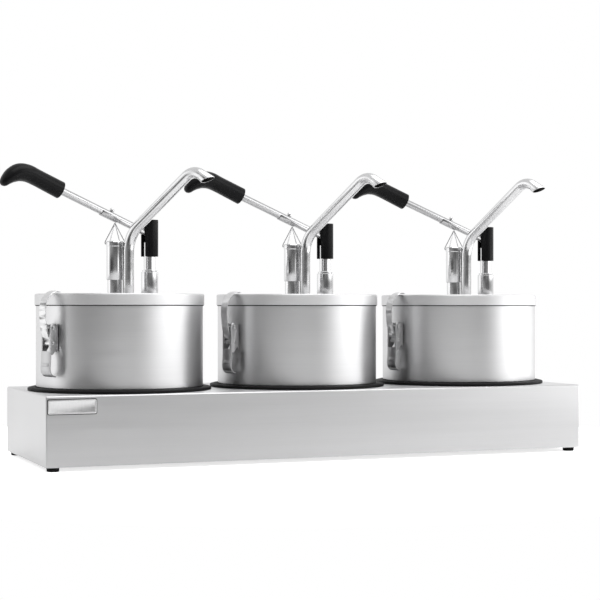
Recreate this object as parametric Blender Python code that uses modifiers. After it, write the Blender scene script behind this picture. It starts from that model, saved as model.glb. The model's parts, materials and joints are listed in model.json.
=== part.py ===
"""Three-station lever pump dispenser for sauces.

A folded steel base holds three pots, each hung by its shoulder on a rubber ring.  Each pot has a
lid held by a toggle latch, and each lid carries a lever pump: a capped piston in a neck, a wire
link up to the lever, a post with a clevis for the lever's hinge, and a bent spout.

World frame: +Z up, +X along the base, -Y to the front, origin on the table at the middle of the
whole object's outline.  Each station has its own frame at its pot's axis, turned about Z.
"""
import math

import bmesh
import bpy
from mathutils import Matrix, Vector

MM = 0.001
COLLECTION = "condiment_pump_dispenser"
GAP = 0.3 * MM                      # between pieces that rest on each other

# Base
BASE_LENGTH = 690 * MM
BASE_DEPTH = 226 * MM
BASE_BOTTOM = 5 * MM
BASE_TOP = 85 * MM
BASE_CENTRE = (18.7 * MM, 14.3 * MM)  # from the middle of the outline, which the levers widen
SHEET = 1.5 * MM
TOP_BEND = 2.5 * MM
FLOOR_Z = BASE_BOTTOM + 1.5 * MM
FOOT_RADIUS = 7.5 * MM
FOOT_TAPER = 0.7 * MM
FOOT_INSET = 10.5 * MM
STEM_RADIUS = 2.9 * MM
STEM_HOLE = 3.3 * MM
BARB_RADIUS = 4.2 * MM
BARB_EDGE = 1.2 * MM
BARB_HEIGHT = 1.6 * MM
WELL_RADIUS = 100.3 * MM
REACH = 20 * MM                     # how far a cutter runs past what it cuts

# Stations
PITCH = 230 * MM
STATION_TURN = (-15.0, -21.8, -28.0)   # degrees about Z, set by hand so that the levers line up
ROUND = 32                             # segments of the pot, lid, ring and well

# Ring, pot and lid
RING_RADIUS = 110 * MM
RING_TOP = BASE_TOP + 4.3 * MM
RING_BORE = 97.4 * MM
RING_EDGE = 1.2 * MM
RING_NECK = WELL_RADIUS - 0.5 * MM
RING_NECK_DEPTH = 4.5 * MM
POT_RADIUS = 100 * MM
POT_WALL = 1 * MM
POT_LOWER_RADIUS = 97 * MM
POT_BOTTOM = 30 * MM
POT_CORNER = 3 * MM
SHOULDER_EDGE = 1.4 * MM
SHOULDER_RISE = 2.4 * MM
LID_TOP = 200 * MM
LID_SHEET = 1.2 * MM
LID_RADIUS = 101.6 * MM
LID_EDGE = 1.5 * MM
LID_WALL = 1 * MM
LID_HOLE = 0.4 * MM                 # clearance round the pieces that pass through the lid
SKIRT_BOTTOM = 186.9 * MM
POT_TOP = LID_TOP - LID_SHEET - 0.5 * MM

# Pump: plan places in the station frame
PISTON_XY = Vector((-6 * MM, -8 * MM))
SPOUT_XY = Vector((10.1 * MM, -17 * MM))
LEVER_HEADING = math.radians(210)      # the way the lever points from its hinge
PISTON_TO_POST = 48.4 * MM
POST_XY = PISTON_XY - PISTON_TO_POST * Vector((math.cos(LEVER_HEADING), math.sin(LEVER_HEADING)))

# Piston, neck and spring
NECK_RADIUS = 9.2 * MM
NECK_BORE = 8.2 * MM
NECK_TOP = 241 * MM
WEB_TOP = 190 * MM                  # the web inside the neck that the spring stands on
WEB_BOTTOM = 186 * MM
BARREL_RADIUS = 11.5 * MM
BARREL_BORE = 10 * MM
BARREL_BOTTOM = 146 * MM
BARREL_FLOOR = 3 * MM
FLANGE_RADIUS = 16.5 * MM
FLANGE = 3 * MM
ROD_HOLE = 0.6 * MM                 # clearance round the piston rod in the web
BLOCK_START = 5.5 * MM              # from the piston's axis
BLOCK_HALF_WIDTH = 8.5 * MM
BLOCK_BELOW = 9 * MM                # from the spout's socket floor
BLOCK_ABOVE = 7 * MM
BLOCK_CLEARANCE = 0.7 * MM
RISER_RADIUS = 3.5 * MM
PASSAGE_RADIUS = 2 * MM
PASSAGE_DEPTH = 4 * MM
SUCTION_RADIUS = 6 * MM
SUCTION_BORE = 4.5 * MM
SUCTION_END = 40 * MM
CAP_RADIUS = 10.3 * MM
CAP_BORE = 9.6 * MM
CAP_TOP = 263.2 * MM
CAP_BOTTOM = 216.6 * MM
CAP_ROOF = 1.3 * MM
CAP_EDGE = 0.7 * MM
ROD_RADIUS = 3 * MM
PISTON_RADIUS = 9.3 * MM
PISTON_TOP = 184 * MM
PISTON_BOTTOM = 172 * MM
COIL_RADIUS = 5.8 * MM
COIL_WIRE = 0.7 * MM
COIL_TURNS = 5
COIL_STEPS = 7                      # points in each turn

# Lever, its hinge and the post
HINGE_Z = 272.5 * MM
LEVER_RISE = math.radians(21.7)
LEVER_RADIUS = 4.5 * MM
LEVER_BACK = -4.5 * MM
LEVER_END = 141 * MM
PIN_RADIUS = 2 * MM
PIN_HOLE = 2.3 * MM
SADDLE_START = 48.5 * MM
SADDLE_END = 72 * MM
SADDLE_RADIUS = 5.6 * MM
SADDLE_SCREW = 59 * MM
SCREW_RADIUS = 1.4 * MM
SCREW_HOLE = 1.8 * MM
SCREW_TOP = 6 * MM
SCREW_HEAD = 2.9 * MM
LINK_TOP = 284.6 * MM
LINK_WIRE = 0.7 * MM
LINK_SPREAD = math.radians(30)      # the link's feet stand this far either side of the lever line
LINK_FOOT = 2 * MM
LINK_CREST = 1.2 * MM
LINK_STEP = 0.45 * MM               # the second wire passes this far under the first
GRIP_RADIUS = 10.3 * MM
CLEVIS_RADIUS = 10.5 * MM
CLEVIS_BOTTOM = 245.8 * MM
CLEVIS_TOP = 290.4 * MM
CLEVIS_SLOT = 9.8 * MM
CLEVIS_SLOT_BACK = -7.4 * MM
CLEVIS_BORE = 7.7 * MM
PIN_STOP = 8.4 * MM                  # the pin's hole is blind on the front side
POST_ROD_RADIUS = 7.3 * MM
POST_ROD_TOP = 263 * MM
POST_RADIUS = 10.5 * MM
POST_SHOULDER = 226.9 * MM
POST_COLLAR_TOP = 229.4 * MM
POST_COLLAR_RADIUS = 9.2 * MM
STUD_RADIUS = 4 * MM
NUT_RADIUS = 8 * MM
NUT_HEIGHT = 5 * MM

# Spout, in the upright plane it lies in
SPOUT_HEADING = math.radians(-42)
SPOUT_RADIUS = 6.5 * MM
SPOUT_WALL = 1 * MM
SPOUT_FOOT = 144.4 * MM
SPOUT_KNEE = Vector((0, 269.5 * MM))
SPOUT_ELBOW = Vector((101.2 * MM, 344.5 * MM))
SPOUT_TIP = Vector((129.8 * MM, 323.7 * MM))
SPOUT_FLARE = 1.35                  # the tube's widening at that tip, beyond its cut end
KNEE_BEND = 40 * MM
ELBOW_BEND = 20 * MM
MOUTH = Vector((118.5 * MM, 329.4 * MM))
MOUTH_TILT = math.radians(22)
SOCKET_FLOOR = 144 * MM

# Latch, in its own plane: X outward from the pot's axis, Z up
LATCH_HEADING = math.radians(-138.6)
LATCH_PIVOT = Vector((107.5 * MM, 159.7 * MM))
HOOK_PIVOT = Vector((108.3 * MM, 142.3 * MM))
RIVET_RADIUS = 1.3 * MM
PLATE = 1.2 * MM
RIVET_HEAD = 3 * MM
RIVET_STANDS = 1.4 * MM             # past the latch lever's cheeks
LATCH_HALF_WIDTH = 8.5 * MM
LATCH_HUB = 5 * MM
LATCH_CHEEK_EDGE = 5.2 * MM
HOOK_PIN_STANDS = 0.8 * MM
BRACKET_HALF_WIDTH = 6.9 * MM
BRACKET_BACK = (-27 * MM, 5 * MM)   # from the rivet, down and up
BRACKET_HUB = 4 * MM
PIVOT_CLEARANCE = 0.3 * MM
STRAP = 1.4 * MM
STRAP_WIDTH = 11 * MM
EYE_RADIUS = 2.9 * MM
WINDOW_WIDTH = 12 * MM
WINDOW_BOTTOM = -26.5 * MM
WINDOW_TOP = -6.5 * MM

STEEL = ("steel", (0.62, 0.62, 0.63), 0.32, 1.0)
POLISHED = ("polished_steel", (0.72, 0.72, 0.73), 0.12, 1.0)
RUBBER = ("rubber", (0.012, 0.012, 0.013), 0.62, 0.0)
BLACK_PLASTIC = ("black_plastic", (0.015, 0.015, 0.017), 0.25, 0.0)


def clear_scene():
    for old in list(bpy.data.objects):
        bpy.data.objects.remove(old)


def part_collection():
    made = bpy.data.collections.new(COLLECTION)
    bpy.context.scene.collection.children.link(made)
    return made


def material(node, finish):
    """The node's own Principled material, in the finish's colour."""
    name, colour, roughness, metallic = finish
    made = bpy.data.materials.new(f"{node}_{name}")
    made.use_nodes = True
    shader = made.node_tree.nodes["Principled BSDF"]
    shader.inputs["Base Color"].default_value = (*colour, 1.0)
    shader.inputs["Roughness"].default_value = roughness
    shader.inputs["Metallic"].default_value = metallic
    return made


# --- modelling helpers: each gives a plain mesh -------------------------------------------------

def scratch(data):
    """A short-lived object for modifiers to work on."""
    made = bpy.data.objects.new("scratch", data)
    bpy.context.scene.collection.objects.link(made)
    return made


def baked(made):
    """The evaluated mesh of a scratch object, which is then removed."""
    bpy.context.view_layer.update()
    depsgraph = bpy.context.evaluated_depsgraph_get()
    mesh = bpy.data.meshes.new_from_object(made.evaluated_get(depsgraph))
    bpy.data.objects.remove(made)
    return mesh


def welded(mesh):
    edit = bmesh.new()
    edit.from_mesh(mesh)
    bmesh.ops.remove_doubles(edit, verts=edit.verts, dist=0.005 * MM)
    edit.to_mesh(mesh)
    edit.free()
    return mesh


def moved(mesh, matrix):
    mesh.transform(matrix)
    return mesh


def turned(profile, steps, closed=False):
    """Turn an (r, z) profile about Z; its outer side runs from top to bottom."""
    mesh = bpy.data.meshes.new("turned")
    edit = bmesh.new()
    corners = [edit.verts.new((r, 0, z)) for r, z in profile]
    for here, there in zip(corners, corners[1:] + corners[:1] if closed else corners[1:]):
        edit.edges.new((here, there))
    edit.to_mesh(mesh)
    edit.free()
    made = scratch(mesh)
    screw = made.modifiers.new("turn", "SCREW")
    screw.steps = steps
    screw.render_steps = steps
    screw.use_merge_vertices = True
    screw.merge_threshold = 0.01 * MM
    return baked(made)


def box(low, high):
    mesh = bpy.data.meshes.new("box")
    edit = bmesh.new()
    bmesh.ops.create_cube(edit, size=1)
    low, high = Vector(low), Vector(high)
    for corner in edit.verts:
        corner.co = [low[i] + (corner.co[i] + 0.5) * (high[i] - low[i]) for i in range(3)]
    edit.to_mesh(mesh)
    edit.free()
    return mesh


def rod(start, end, radius, segments):
    """A solid round bar from one point to another."""
    start, end = Vector(start), Vector(end)
    mesh = bpy.data.meshes.new("rod")
    edit = bmesh.new()
    bmesh.ops.create_cone(edit, cap_ends=True, segments=segments, radius1=radius, radius2=radius,
                          depth=(end - start).length)
    edit.to_mesh(mesh)
    edit.free()
    turn = (end - start).to_track_quat("Z", "Y").to_matrix().to_4x4()
    return moved(mesh, Matrix.Translation((start + end) / 2) @ turn)


def tube(points, radius, resolution, radii=None, capped=True):
    """A tube along a polyline, with a radius factor at each point if given."""
    curve = bpy.data.curves.new("tube", "CURVE")
    curve.dimensions = "3D"
    curve.bevel_depth = radius
    curve.bevel_resolution = resolution
    curve.use_fill_caps = capped
    spline = curve.splines.new("POLY")
    spline.points.add(len(points) - 1)
    for index, (handle, place) in enumerate(zip(spline.points, points)):
        handle.co = (*place, 1)
        handle.radius = radii[index] if radii else 1
    mesh = baked(scratch(curve))
    bpy.data.curves.remove(curve)
    return welded(mesh)


def extruded(outline, low, high):
    """An (x, z) outline, extruded along Y from low to high."""
    curve = bpy.data.curves.new("outline", "CURVE")
    curve.dimensions = "2D"
    curve.fill_mode = "BOTH"
    curve.extrude = (high - low) / 2
    spline = curve.splines.new("POLY")
    spline.points.add(len(outline) - 1)
    for handle, (x, z) in zip(spline.points, outline):
        handle.co = (x, z, 0, 1)
    spline.use_cyclic_u = True
    mesh = welded(baked(scratch(curve)))
    bpy.data.curves.remove(curve)
    upright = Matrix.Rotation(math.radians(90), 4, "X")
    return moved(mesh, Matrix.Translation((0, (low + high) / 2, 0)) @ upright)


def combined(mesh, others, operation):
    """The mesh after a Boolean with each of the others in turn."""
    for other in others:
        made = scratch(mesh)
        tool = scratch(other)
        change = made.modifiers.new("change", "BOOLEAN")
        change.operation = operation
        change.object = tool
        mesh = baked(made)
        bpy.data.objects.remove(tool)
    return mesh


def cut(mesh, *cutters):
    return combined(mesh, cutters, "DIFFERENCE")


def joined(mesh, *others):
    return combined(mesh, others, "UNION")


def arc(centre, radius, start, end, steps):
    """Points of an arc in a plane, from one angle to another in degrees."""
    angles = [math.radians(start + (end - start) * i / steps) for i in range(steps + 1)]
    return [(centre[0] + radius * math.cos(a), centre[1] + radius * math.sin(a)) for a in angles]


def rounded_path(points, bends, steps):
    """A path through plane points with each inner corner rounded to its bend radius."""
    path = [points[0]]
    for before, corner, after, bend in zip(points, points[1:], points[2:], bends):
        back = (before - corner).normalized()
        on = (after - corner).normalized()
        half = back.angle(on) / 2
        middle = corner + (back + on).normalized() * bend / math.sin(half)
        first = corner + back * bend / math.tan(half) - middle
        last = corner + on * bend / math.tan(half) - middle
        sweep = first.angle_signed(last)
        for i in range(steps + 1):
            turn = Matrix.Rotation(-sweep * i / steps, 2)
            path.append(middle + turn @ first)
    path.append(points[-1])
    return path


def sheet_outline(centreline, thickness):
    """The closed outline of a bent strip of sheet, from its centreline."""
    left = []
    right = []
    for index, here in enumerate(centreline):
        before = centreline[max(index - 1, 0)]
        after = centreline[min(index + 1, len(centreline) - 1)]
        along = (after - before).normalized()
        side = Vector((-along.y, along.x)) * thickness / 2
        left.append(here + side)
        right.append(here - side)
    return left + right[::-1]


def smooth_path(points, steps):
    """A Catmull-Rom curve through points of any size."""
    ends = [points[0] * 2 - points[1]] + points + [points[-1] * 2 - points[-2]]
    path = []
    for a, b, c, d in zip(ends, ends[1:], ends[2:], ends[3:]):
        for i in range(steps):
            t = i / steps
            path.append(0.5 * (2 * b + (c - a) * t + (2 * a - 5 * b + 4 * c - d) * t * t
                               + (3 * b - a - 3 * c + d) * t ** 3))
    path.append(points[-1])
    return path


# --- placing ------------------------------------------------------------------------------------

def put(parts, node, mesh, finish, parent=None):
    """Make the named part, on its parent's axis."""
    made = bpy.data.objects.new(node, mesh.copy())
    made.data.name = node
    made.data.shade_smooth()
    made.data.set_sharp_from_angle(angle=math.radians(35))
    made.data.materials.clear()
    made.data.materials.append(material(node, finish))
    made.parent = parent
    parts.objects.link(made)
    return made


def axis_empty(parts, name, place, euler=(0, 0, 0), parent=None):
    made = bpy.data.objects.new(name, None)
    made.empty_display_size = 20 * MM
    made.location = place
    made.rotation_euler = euler
    made.parent = parent
    parts.objects.link(made)
    return made


def station_centre(index):
    return Vector((BASE_CENTRE[0] + (index - 1) * PITCH, BASE_CENTRE[1], 0))


# --- base ---------------------------------------------------------------------------------------

def base_housing():
    """The folded box: open underneath, its top edges bent round, with three wells."""
    x, y = BASE_CENTRE
    low = (x - BASE_LENGTH / 2, y - BASE_DEPTH / 2, BASE_BOTTOM)
    high = (x + BASE_LENGTH / 2, y + BASE_DEPTH / 2, BASE_TOP)
    mesh = box(low, high)
    edit = bmesh.new()
    edit.from_mesh(mesh)
    underside = [f for f in edit.faces if f.normal.z < -0.5]
    bmesh.ops.delete(edit, geom=underside, context="FACES")
    top_edges = [e for e in edit.edges if all(v.co.z > BASE_TOP - 0.1 * MM for v in e.verts)]
    bmesh.ops.bevel(edit, geom=top_edges, offset=TOP_BEND, segments=2, profile=0.5, affect="EDGES")
    edit.to_mesh(mesh)
    edit.free()
    made = scratch(mesh)
    wall = made.modifiers.new("wall", "SOLIDIFY")
    wall.thickness = SHEET
    wall.offset = -1
    wall.use_even_offset = True
    mesh = baked(made)
    for index, turn in enumerate(STATION_TURN):
        centre = station_centre(index)
        well = rod((0, 0, BASE_TOP - REACH), (0, 0, BASE_TOP + REACH), WELL_RADIUS, ROUND)
        place = Matrix.Translation(centre) @ Matrix.Rotation(math.radians(turn), 4, "Z")
        mesh = cut(mesh, moved(well, place))
    return mesh


def foot_places():
    x, y = BASE_CENTRE
    across = BASE_LENGTH / 2 - FOOT_INSET
    along = BASE_DEPTH / 2 - FOOT_INSET
    return {"foot_front_left": (x - across, y - along), "foot_front_right": (x + across, y - along),
            "foot_back_left": (x - across, y + along), "foot_back_right": (x + across, y + along)}


def base_floor():
    x, y = BASE_CENTRE
    half_x = BASE_LENGTH / 2 - SHEET - GAP
    half_y = BASE_DEPTH / 2 - SHEET - GAP
    mesh = box((x - half_x, y - half_y, FLOOR_Z), (x + half_x, y + half_y, FLOOR_Z + SHEET))
    for px, py in foot_places().values():
        mesh = cut(mesh, rod((px, py, 0), (px, py, REACH), STEM_HOLE, 12))
    return mesh


def foot():
    """A rubber bumper whose barbed stem is pushed through the floor."""
    shelf = FLOOR_Z - GAP
    barb = FLOOR_Z + SHEET + GAP
    return turned([(0, barb + BARB_HEIGHT), (BARB_RADIUS, barb + BARB_EDGE), (BARB_RADIUS, barb),
                   (STEM_RADIUS, barb), (STEM_RADIUS, shelf), (FOOT_RADIUS, shelf),
                   (FOOT_RADIUS - FOOT_TAPER, 0), (0, 0)], 12)


def ring():
    """Rubber ring: a flange on the base and a neck down into the well."""
    flange = BASE_TOP + GAP
    foot_z = BASE_TOP - RING_NECK_DEPTH
    return turned([(RING_RADIUS - RING_EDGE, RING_TOP), (RING_RADIUS, RING_TOP - RING_EDGE),
                   (RING_RADIUS, flange), (RING_NECK, flange), (RING_NECK, foot_z),
                   (RING_BORE, foot_z), (RING_BORE, RING_TOP)], ROUND, closed=True)


# --- pot and lid --------------------------------------------------------------------------------

def pot():
    """A stepped pot: its shoulder rests on the ring and the rest hangs down in the base."""
    inner = POT_RADIUS - POT_WALL
    inner_low = POT_LOWER_RADIUS - POT_WALL
    shoulder = RING_TOP + GAP
    return turned([(0, POT_BOTTOM + POT_WALL), (inner_low - POT_WALL, POT_BOTTOM + POT_WALL),
                   (inner_low, shoulder + 1.3 * POT_WALL), (inner, shoulder + SHOULDER_RISE + 0.8 * POT_WALL),
                   (inner, POT_TOP), (POT_RADIUS, POT_TOP), (POT_RADIUS, shoulder + SHOULDER_RISE),
                   (POT_RADIUS - SHOULDER_EDGE, shoulder), (POT_LOWER_RADIUS, shoulder),
                   (POT_LOWER_RADIUS, POT_BOTTOM + POT_CORNER),
                   (POT_LOWER_RADIUS - POT_CORNER, POT_BOTTOM), (0, POT_BOTTOM)], ROUND)


def lid():
    under = LID_TOP - LID_SHEET
    inner = LID_RADIUS - LID_WALL
    mesh = turned([(0, LID_TOP), (LID_RADIUS - LID_EDGE, LID_TOP),
                   (LID_RADIUS, LID_TOP - LID_EDGE), (LID_RADIUS, SKIRT_BOTTOM),
                   (inner, SKIRT_BOTTOM), (inner, under), (0, under)], ROUND)
    holes = ((PISTON_XY, NECK_RADIUS, 16), (SPOUT_XY, SPOUT_RADIUS, 12), (POST_XY, STUD_RADIUS, 12))
    for place, radius, segments in holes:
        mesh = cut(mesh, rod((*place, LID_TOP - REACH), (*place, LID_TOP + REACH),
                             radius + LID_HOLE, segments))
    return mesh


# --- pump ---------------------------------------------------------------------------------------

def pump_cylinder():
    """Neck, barrel and suction tube on the piston's axis, with the outlet block at its side."""
    under = LID_TOP - LID_SHEET - GAP
    through = ROD_RADIUS + ROD_HOLE
    mesh = turned([(NECK_RADIUS, NECK_TOP), (NECK_RADIUS, under), (FLANGE_RADIUS, under),
                   (FLANGE_RADIUS, under - FLANGE), (BARREL_RADIUS, under - FLANGE),
                   (BARREL_RADIUS, BARREL_BOTTOM), (SUCTION_RADIUS, BARREL_BOTTOM - PASSAGE_DEPTH),
                   (SUCTION_RADIUS, SUCTION_END), (SUCTION_BORE, SUCTION_END),
                   (SUCTION_BORE, BARREL_BOTTOM - BARREL_FLOOR), (BARREL_BORE, BARREL_BOTTOM + 1 * MM),
                   (BARREL_BORE, WEB_BOTTOM), (through, WEB_BOTTOM), (through, WEB_TOP),
                   (NECK_BORE, WEB_TOP), (NECK_BORE, NECK_TOP)], 12, closed=True)
    mesh = moved(mesh, Matrix.Translation((*PISTON_XY, 0)))
    aside = SPOUT_XY - PISTON_XY
    facing = Matrix.Rotation(math.atan2(aside.y, aside.x), 4, "Z")
    to_piston = Matrix.Translation((*PISTON_XY, 0)) @ facing
    reach = aside.length
    block = box((BLOCK_START, -BLOCK_HALF_WIDTH, SOCKET_FLOOR - BLOCK_BELOW),
                (reach + BLOCK_HALF_WIDTH, BLOCK_HALF_WIDTH, SOCKET_FLOOR + BLOCK_ABOVE))
    block = cut(block, rod((0, 0, SOCKET_FLOOR - REACH), (0, 0, SOCKET_FLOOR + REACH),
                           SUCTION_BORE + BLOCK_CLEARANCE, 16))
    block = cut(block, rod((0, 0, BARREL_BOTTOM), (0, 0, SOCKET_FLOOR + REACH),
                           BARREL_BORE + BLOCK_CLEARANCE, 16))
    mesh = joined(mesh, moved(block, to_piston))
    socket = rod((*SPOUT_XY, SOCKET_FLOOR), (*SPOUT_XY, LID_TOP), SPOUT_RADIUS + LID_HOLE, 12)
    passage_z = SOCKET_FLOOR - PASSAGE_DEPTH
    riser = rod((*SPOUT_XY, passage_z - 1 * MM), (*SPOUT_XY, SOCKET_FLOOR + 1 * MM), RISER_RADIUS, 8)
    passage = moved(rod((RISER_RADIUS, 0, passage_z), (reach, 0, passage_z), PASSAGE_RADIUS, 8), to_piston)
    return cut(mesh, socket, riser, passage)


def piston_cap():
    """The bright cap that telescopes over the neck, in the piston's frame."""
    return turned([(0, CAP_TOP), (CAP_RADIUS - CAP_EDGE, CAP_TOP), (CAP_RADIUS, CAP_TOP - CAP_EDGE),
                   (CAP_RADIUS, CAP_BOTTOM), (CAP_BORE, CAP_BOTTOM), (CAP_BORE, CAP_TOP - CAP_ROOF),
                   (0, CAP_TOP - CAP_ROOF)], 16)


def piston_rod():
    """The rod under the cap with the piston head at its foot."""
    top = CAP_TOP - CAP_ROOF - GAP
    return turned([(0, top), (ROD_RADIUS, top), (ROD_RADIUS, PISTON_TOP), (PISTON_RADIUS, PISTON_TOP),
                   (PISTON_RADIUS, PISTON_BOTTOM), (0, PISTON_BOTTOM)], 16)


def return_spring():
    """The coil between the neck's web and the cap's roof."""
    low = WEB_TOP + GAP + COIL_WIRE + 0.1 * MM
    high = CAP_TOP - CAP_ROOF - GAP - COIL_WIRE - 0.1 * MM
    count = COIL_TURNS * COIL_STEPS
    points = []
    for i in range(count + 1):
        angle = 2 * math.pi * i / COIL_STEPS
        points.append((COIL_RADIUS * math.cos(angle), COIL_RADIUS * math.sin(angle),
                       low + (high - low) * i / count))
    return tube(points, COIL_WIRE, 1)


def wire_link():
    """Two bent wires that cross under the lever and stand on the cap's rim."""
    foot_z = CAP_TOP + GAP + 0.1 * MM
    stand = CAP_RADIUS - LINK_WIRE - 0.2 * MM
    wires = []
    for side, top in ((-LINK_SPREAD, LINK_TOP), (LINK_SPREAD, LINK_TOP - LINK_STEP)):
        heading = LEVER_HEADING + side
        out = Vector((math.cos(heading), math.sin(heading), 0))
        rise = Vector((0, 0, 1))
        half = [out * stand + rise * foot_z, out * stand + rise * (foot_z + LINK_FOOT),
                out * LINK_CREST + rise * (top - LINK_CREST / 2)]
        other = [Vector((-p.x, -p.y, p.z)) for p in reversed(half)]
        wires.append(tube([*half, rise * top, *other], LINK_WIRE, 1))
    return joined(*wires)


# --- lever: X along the lever from its hinge, Y along the hinge -----------------------------------

def lever():
    mesh = rod((LEVER_BACK, 0, 0), (LEVER_END, 0, 0), LEVER_RADIUS, 14)
    return cut(mesh, rod((0, -REACH, 0), (0, REACH, 0), PIN_HOLE, 10),
               rod((SADDLE_SCREW, 0, -REACH), (SADDLE_SCREW, 0, REACH), SCREW_HOLE, 8))


def lever_saddle():
    """A half shell under the lever with the screw that holds it from above."""
    shell = rod((SADDLE_START, 0, 0), (SADDLE_END, 0, 0), SADDLE_RADIUS, 16)
    shell = cut(shell, rod((SADDLE_START - REACH, 0, 0), (SADDLE_END + REACH, 0, 0),
                           LEVER_RADIUS + GAP, 16),
                box((SADDLE_START - REACH, -REACH, 0), (SADDLE_END + REACH, REACH, REACH)))
    shank = rod((SADDLE_SCREW, 0, -SADDLE_RADIUS + GAP), (SADDLE_SCREW, 0, SCREW_TOP), SCREW_RADIUS, 8)
    seat = LEVER_RADIUS + 0.4 * MM
    head = moved(turned([(0, seat + 1.48 * SCREW_HEAD), (0.6 * SCREW_HEAD, seat + 1.34 * SCREW_HEAD),
                         (SCREW_HEAD, seat + 0.86 * SCREW_HEAD), (SCREW_HEAD, seat), (0, seat)], 10),
                 Matrix.Translation((SADDLE_SCREW, 0, 0)))
    return joined(shell, shank, head)


def lever_grip():
    """A palm grip: straight along the lever, then hooked down at its end."""
    line = [Vector((131, 0.2, 10.3)), Vector((150, 0.6, 10)), Vector((165, 0.9, 9.8)),
            Vector((177, 0.6, 10.2)), Vector((187, -2.8, 10.2)), Vector((194, -9.6, 8.7)),
            Vector((198, -16.5, 6.6)), Vector((200, -22, 4.8))]
    path = smooth_path([p * MM for p in line], 2)
    path.append(Vector((200.6, -24.4, 2.6)) * MM)
    mesh = tube([(p.x, 0, p.y) for p in path], GRIP_RADIUS, 3, [p.z / GRIP_RADIUS for p in path])
    socket = rod((LEVER_END - REACH, 0, 0), (LEVER_END + GAP, 0, 0), LEVER_RADIUS + GAP, 16)
    return cut(mesh, socket)


# --- post, clevis, pin and spout ------------------------------------------------------------------

def post():
    """Foot tube, collar and rod, with the stud and nut that hold it on the lid."""
    foot_z = LID_TOP + GAP
    under = LID_TOP - LID_SHEET - GAP
    mesh = turned([(0, POST_ROD_TOP), (POST_ROD_RADIUS, POST_ROD_TOP),
                   (POST_ROD_RADIUS, POST_COLLAR_TOP), (POST_COLLAR_RADIUS, POST_COLLAR_TOP),
                   (POST_COLLAR_RADIUS, POST_SHOULDER), (POST_RADIUS, POST_SHOULDER),
                   (POST_RADIUS, foot_z), (STUD_RADIUS, foot_z), (STUD_RADIUS, under),
                   (NUT_RADIUS, under), (NUT_RADIUS, under - NUT_HEIGHT), (0, under - NUT_HEIGHT)], 12)
    return moved(mesh, Matrix.Translation((*POST_XY, 0)))


def hinge_frame():
    return Matrix.Translation((*POST_XY, HINGE_Z)) @ Matrix.Rotation(LEVER_HEADING, 4, "Z")


def clevis():
    """A slotted sleeve: the rod stands in its bore and the lever swings in its slot."""
    low = CLEVIS_BOTTOM - HINGE_Z
    high = CLEVIS_TOP - HINGE_Z
    bore_top = POST_ROD_TOP + 1 * MM - HINGE_Z
    mesh = rod((0, 0, low), (0, 0, high), CLEVIS_RADIUS, 20)
    mesh = cut(mesh, rod((0, 0, low - REACH), (0, 0, bore_top), CLEVIS_BORE, 16),
               box((CLEVIS_SLOT_BACK, -CLEVIS_SLOT / 2, low - REACH), (REACH, CLEVIS_SLOT / 2, high + REACH)),
               rod((0, -REACH, 0), (0, PIN_STOP, 0), PIN_HOLE, 10))
    return moved(mesh, hinge_frame())


def hinge_pin():
    outer = -CLEVIS_RADIUS + 0.4 * MM
    return moved(rod((0, outer, 0), (0, PIN_STOP - GAP, 0), PIN_RADIUS, 10), hinge_frame())


def spout():
    """The bent outlet tube, flared a little and cut aslant at its mouth."""
    corners = [Vector((0, SPOUT_FOOT)), SPOUT_KNEE, SPOUT_ELBOW, SPOUT_TIP]
    path = rounded_path(corners, (KNEE_BEND, ELBOW_BEND), 5)
    widths = [1] * (len(path) - 1) + [SPOUT_FLARE]
    mesh = tube([(s, 0, z) for s, z in path], SPOUT_RADIUS, 3, widths, capped=False)
    down = Vector((math.sin(MOUTH_TILT), 0, -math.cos(MOUTH_TILT)))
    edit = bmesh.new()
    edit.from_mesh(mesh)
    end = [f for f in edit.faces if f.calc_center_median().x > SPOUT_ELBOW.x]
    near = set(end) | {e for f in end for e in f.edges} | {v for f in end for v in f.verts}
    bmesh.ops.bisect_plane(edit, geom=list(near), dist=0.001 * MM, plane_co=(MOUTH.x, 0, MOUTH.y),
                           plane_no=down, clear_outer=True)
    edit.to_mesh(mesh)
    edit.free()
    made = scratch(mesh)
    wall = made.modifiers.new("wall", "SOLIDIFY")
    wall.thickness = SPOUT_WALL
    wall.offset = -1
    place = Matrix.Translation((*SPOUT_XY, 0)) @ Matrix.Rotation(SPOUT_HEADING, 4, "Z")
    return moved(baked(made), place)


# --- latch --------------------------------------------------------------------------------------

def latch_frame():
    return (Matrix.Rotation(LATCH_HEADING, 4, "Z")
            @ Matrix.Translation((LATCH_PIVOT.x, 0, LATCH_PIVOT.y)))


def latch_bracket():
    """A channel on the pot's wall with the rivet that the latch lever turns on."""
    wall = POT_RADIUS + 0.55 * MM - LATCH_PIVOT.x
    low, high = BRACKET_BACK
    back = box((wall, -BRACKET_HALF_WIDTH, low), (wall + PLATE, BRACKET_HALF_WIDTH, high))
    cheek = [(wall, -6.8 * MM), (2 * MM, -4.4 * MM)] + arc((0, 0), BRACKET_HUB, -40, 75, 4)
    cheek.append((wall, 4.4 * MM))
    inside = BRACKET_HALF_WIDTH - PLATE
    end = LATCH_HALF_WIDTH + RIVET_STANDS
    rivet = rod((0, -end, 0), (0, end, 0), RIVET_RADIUS, 8)
    heads = [rod((0, side * (LATCH_HALF_WIDTH + GAP), 0), (0, side * (end + 0.2 * MM), 0), RIVET_HEAD, 10)
             for side in (-1, 1)]
    mesh = joined(back, extruded(cheek, inside, BRACKET_HALF_WIDTH),
                  extruded(cheek, -BRACKET_HALF_WIDTH, -inside), rivet, *heads)
    return moved(mesh, latch_frame())


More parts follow.
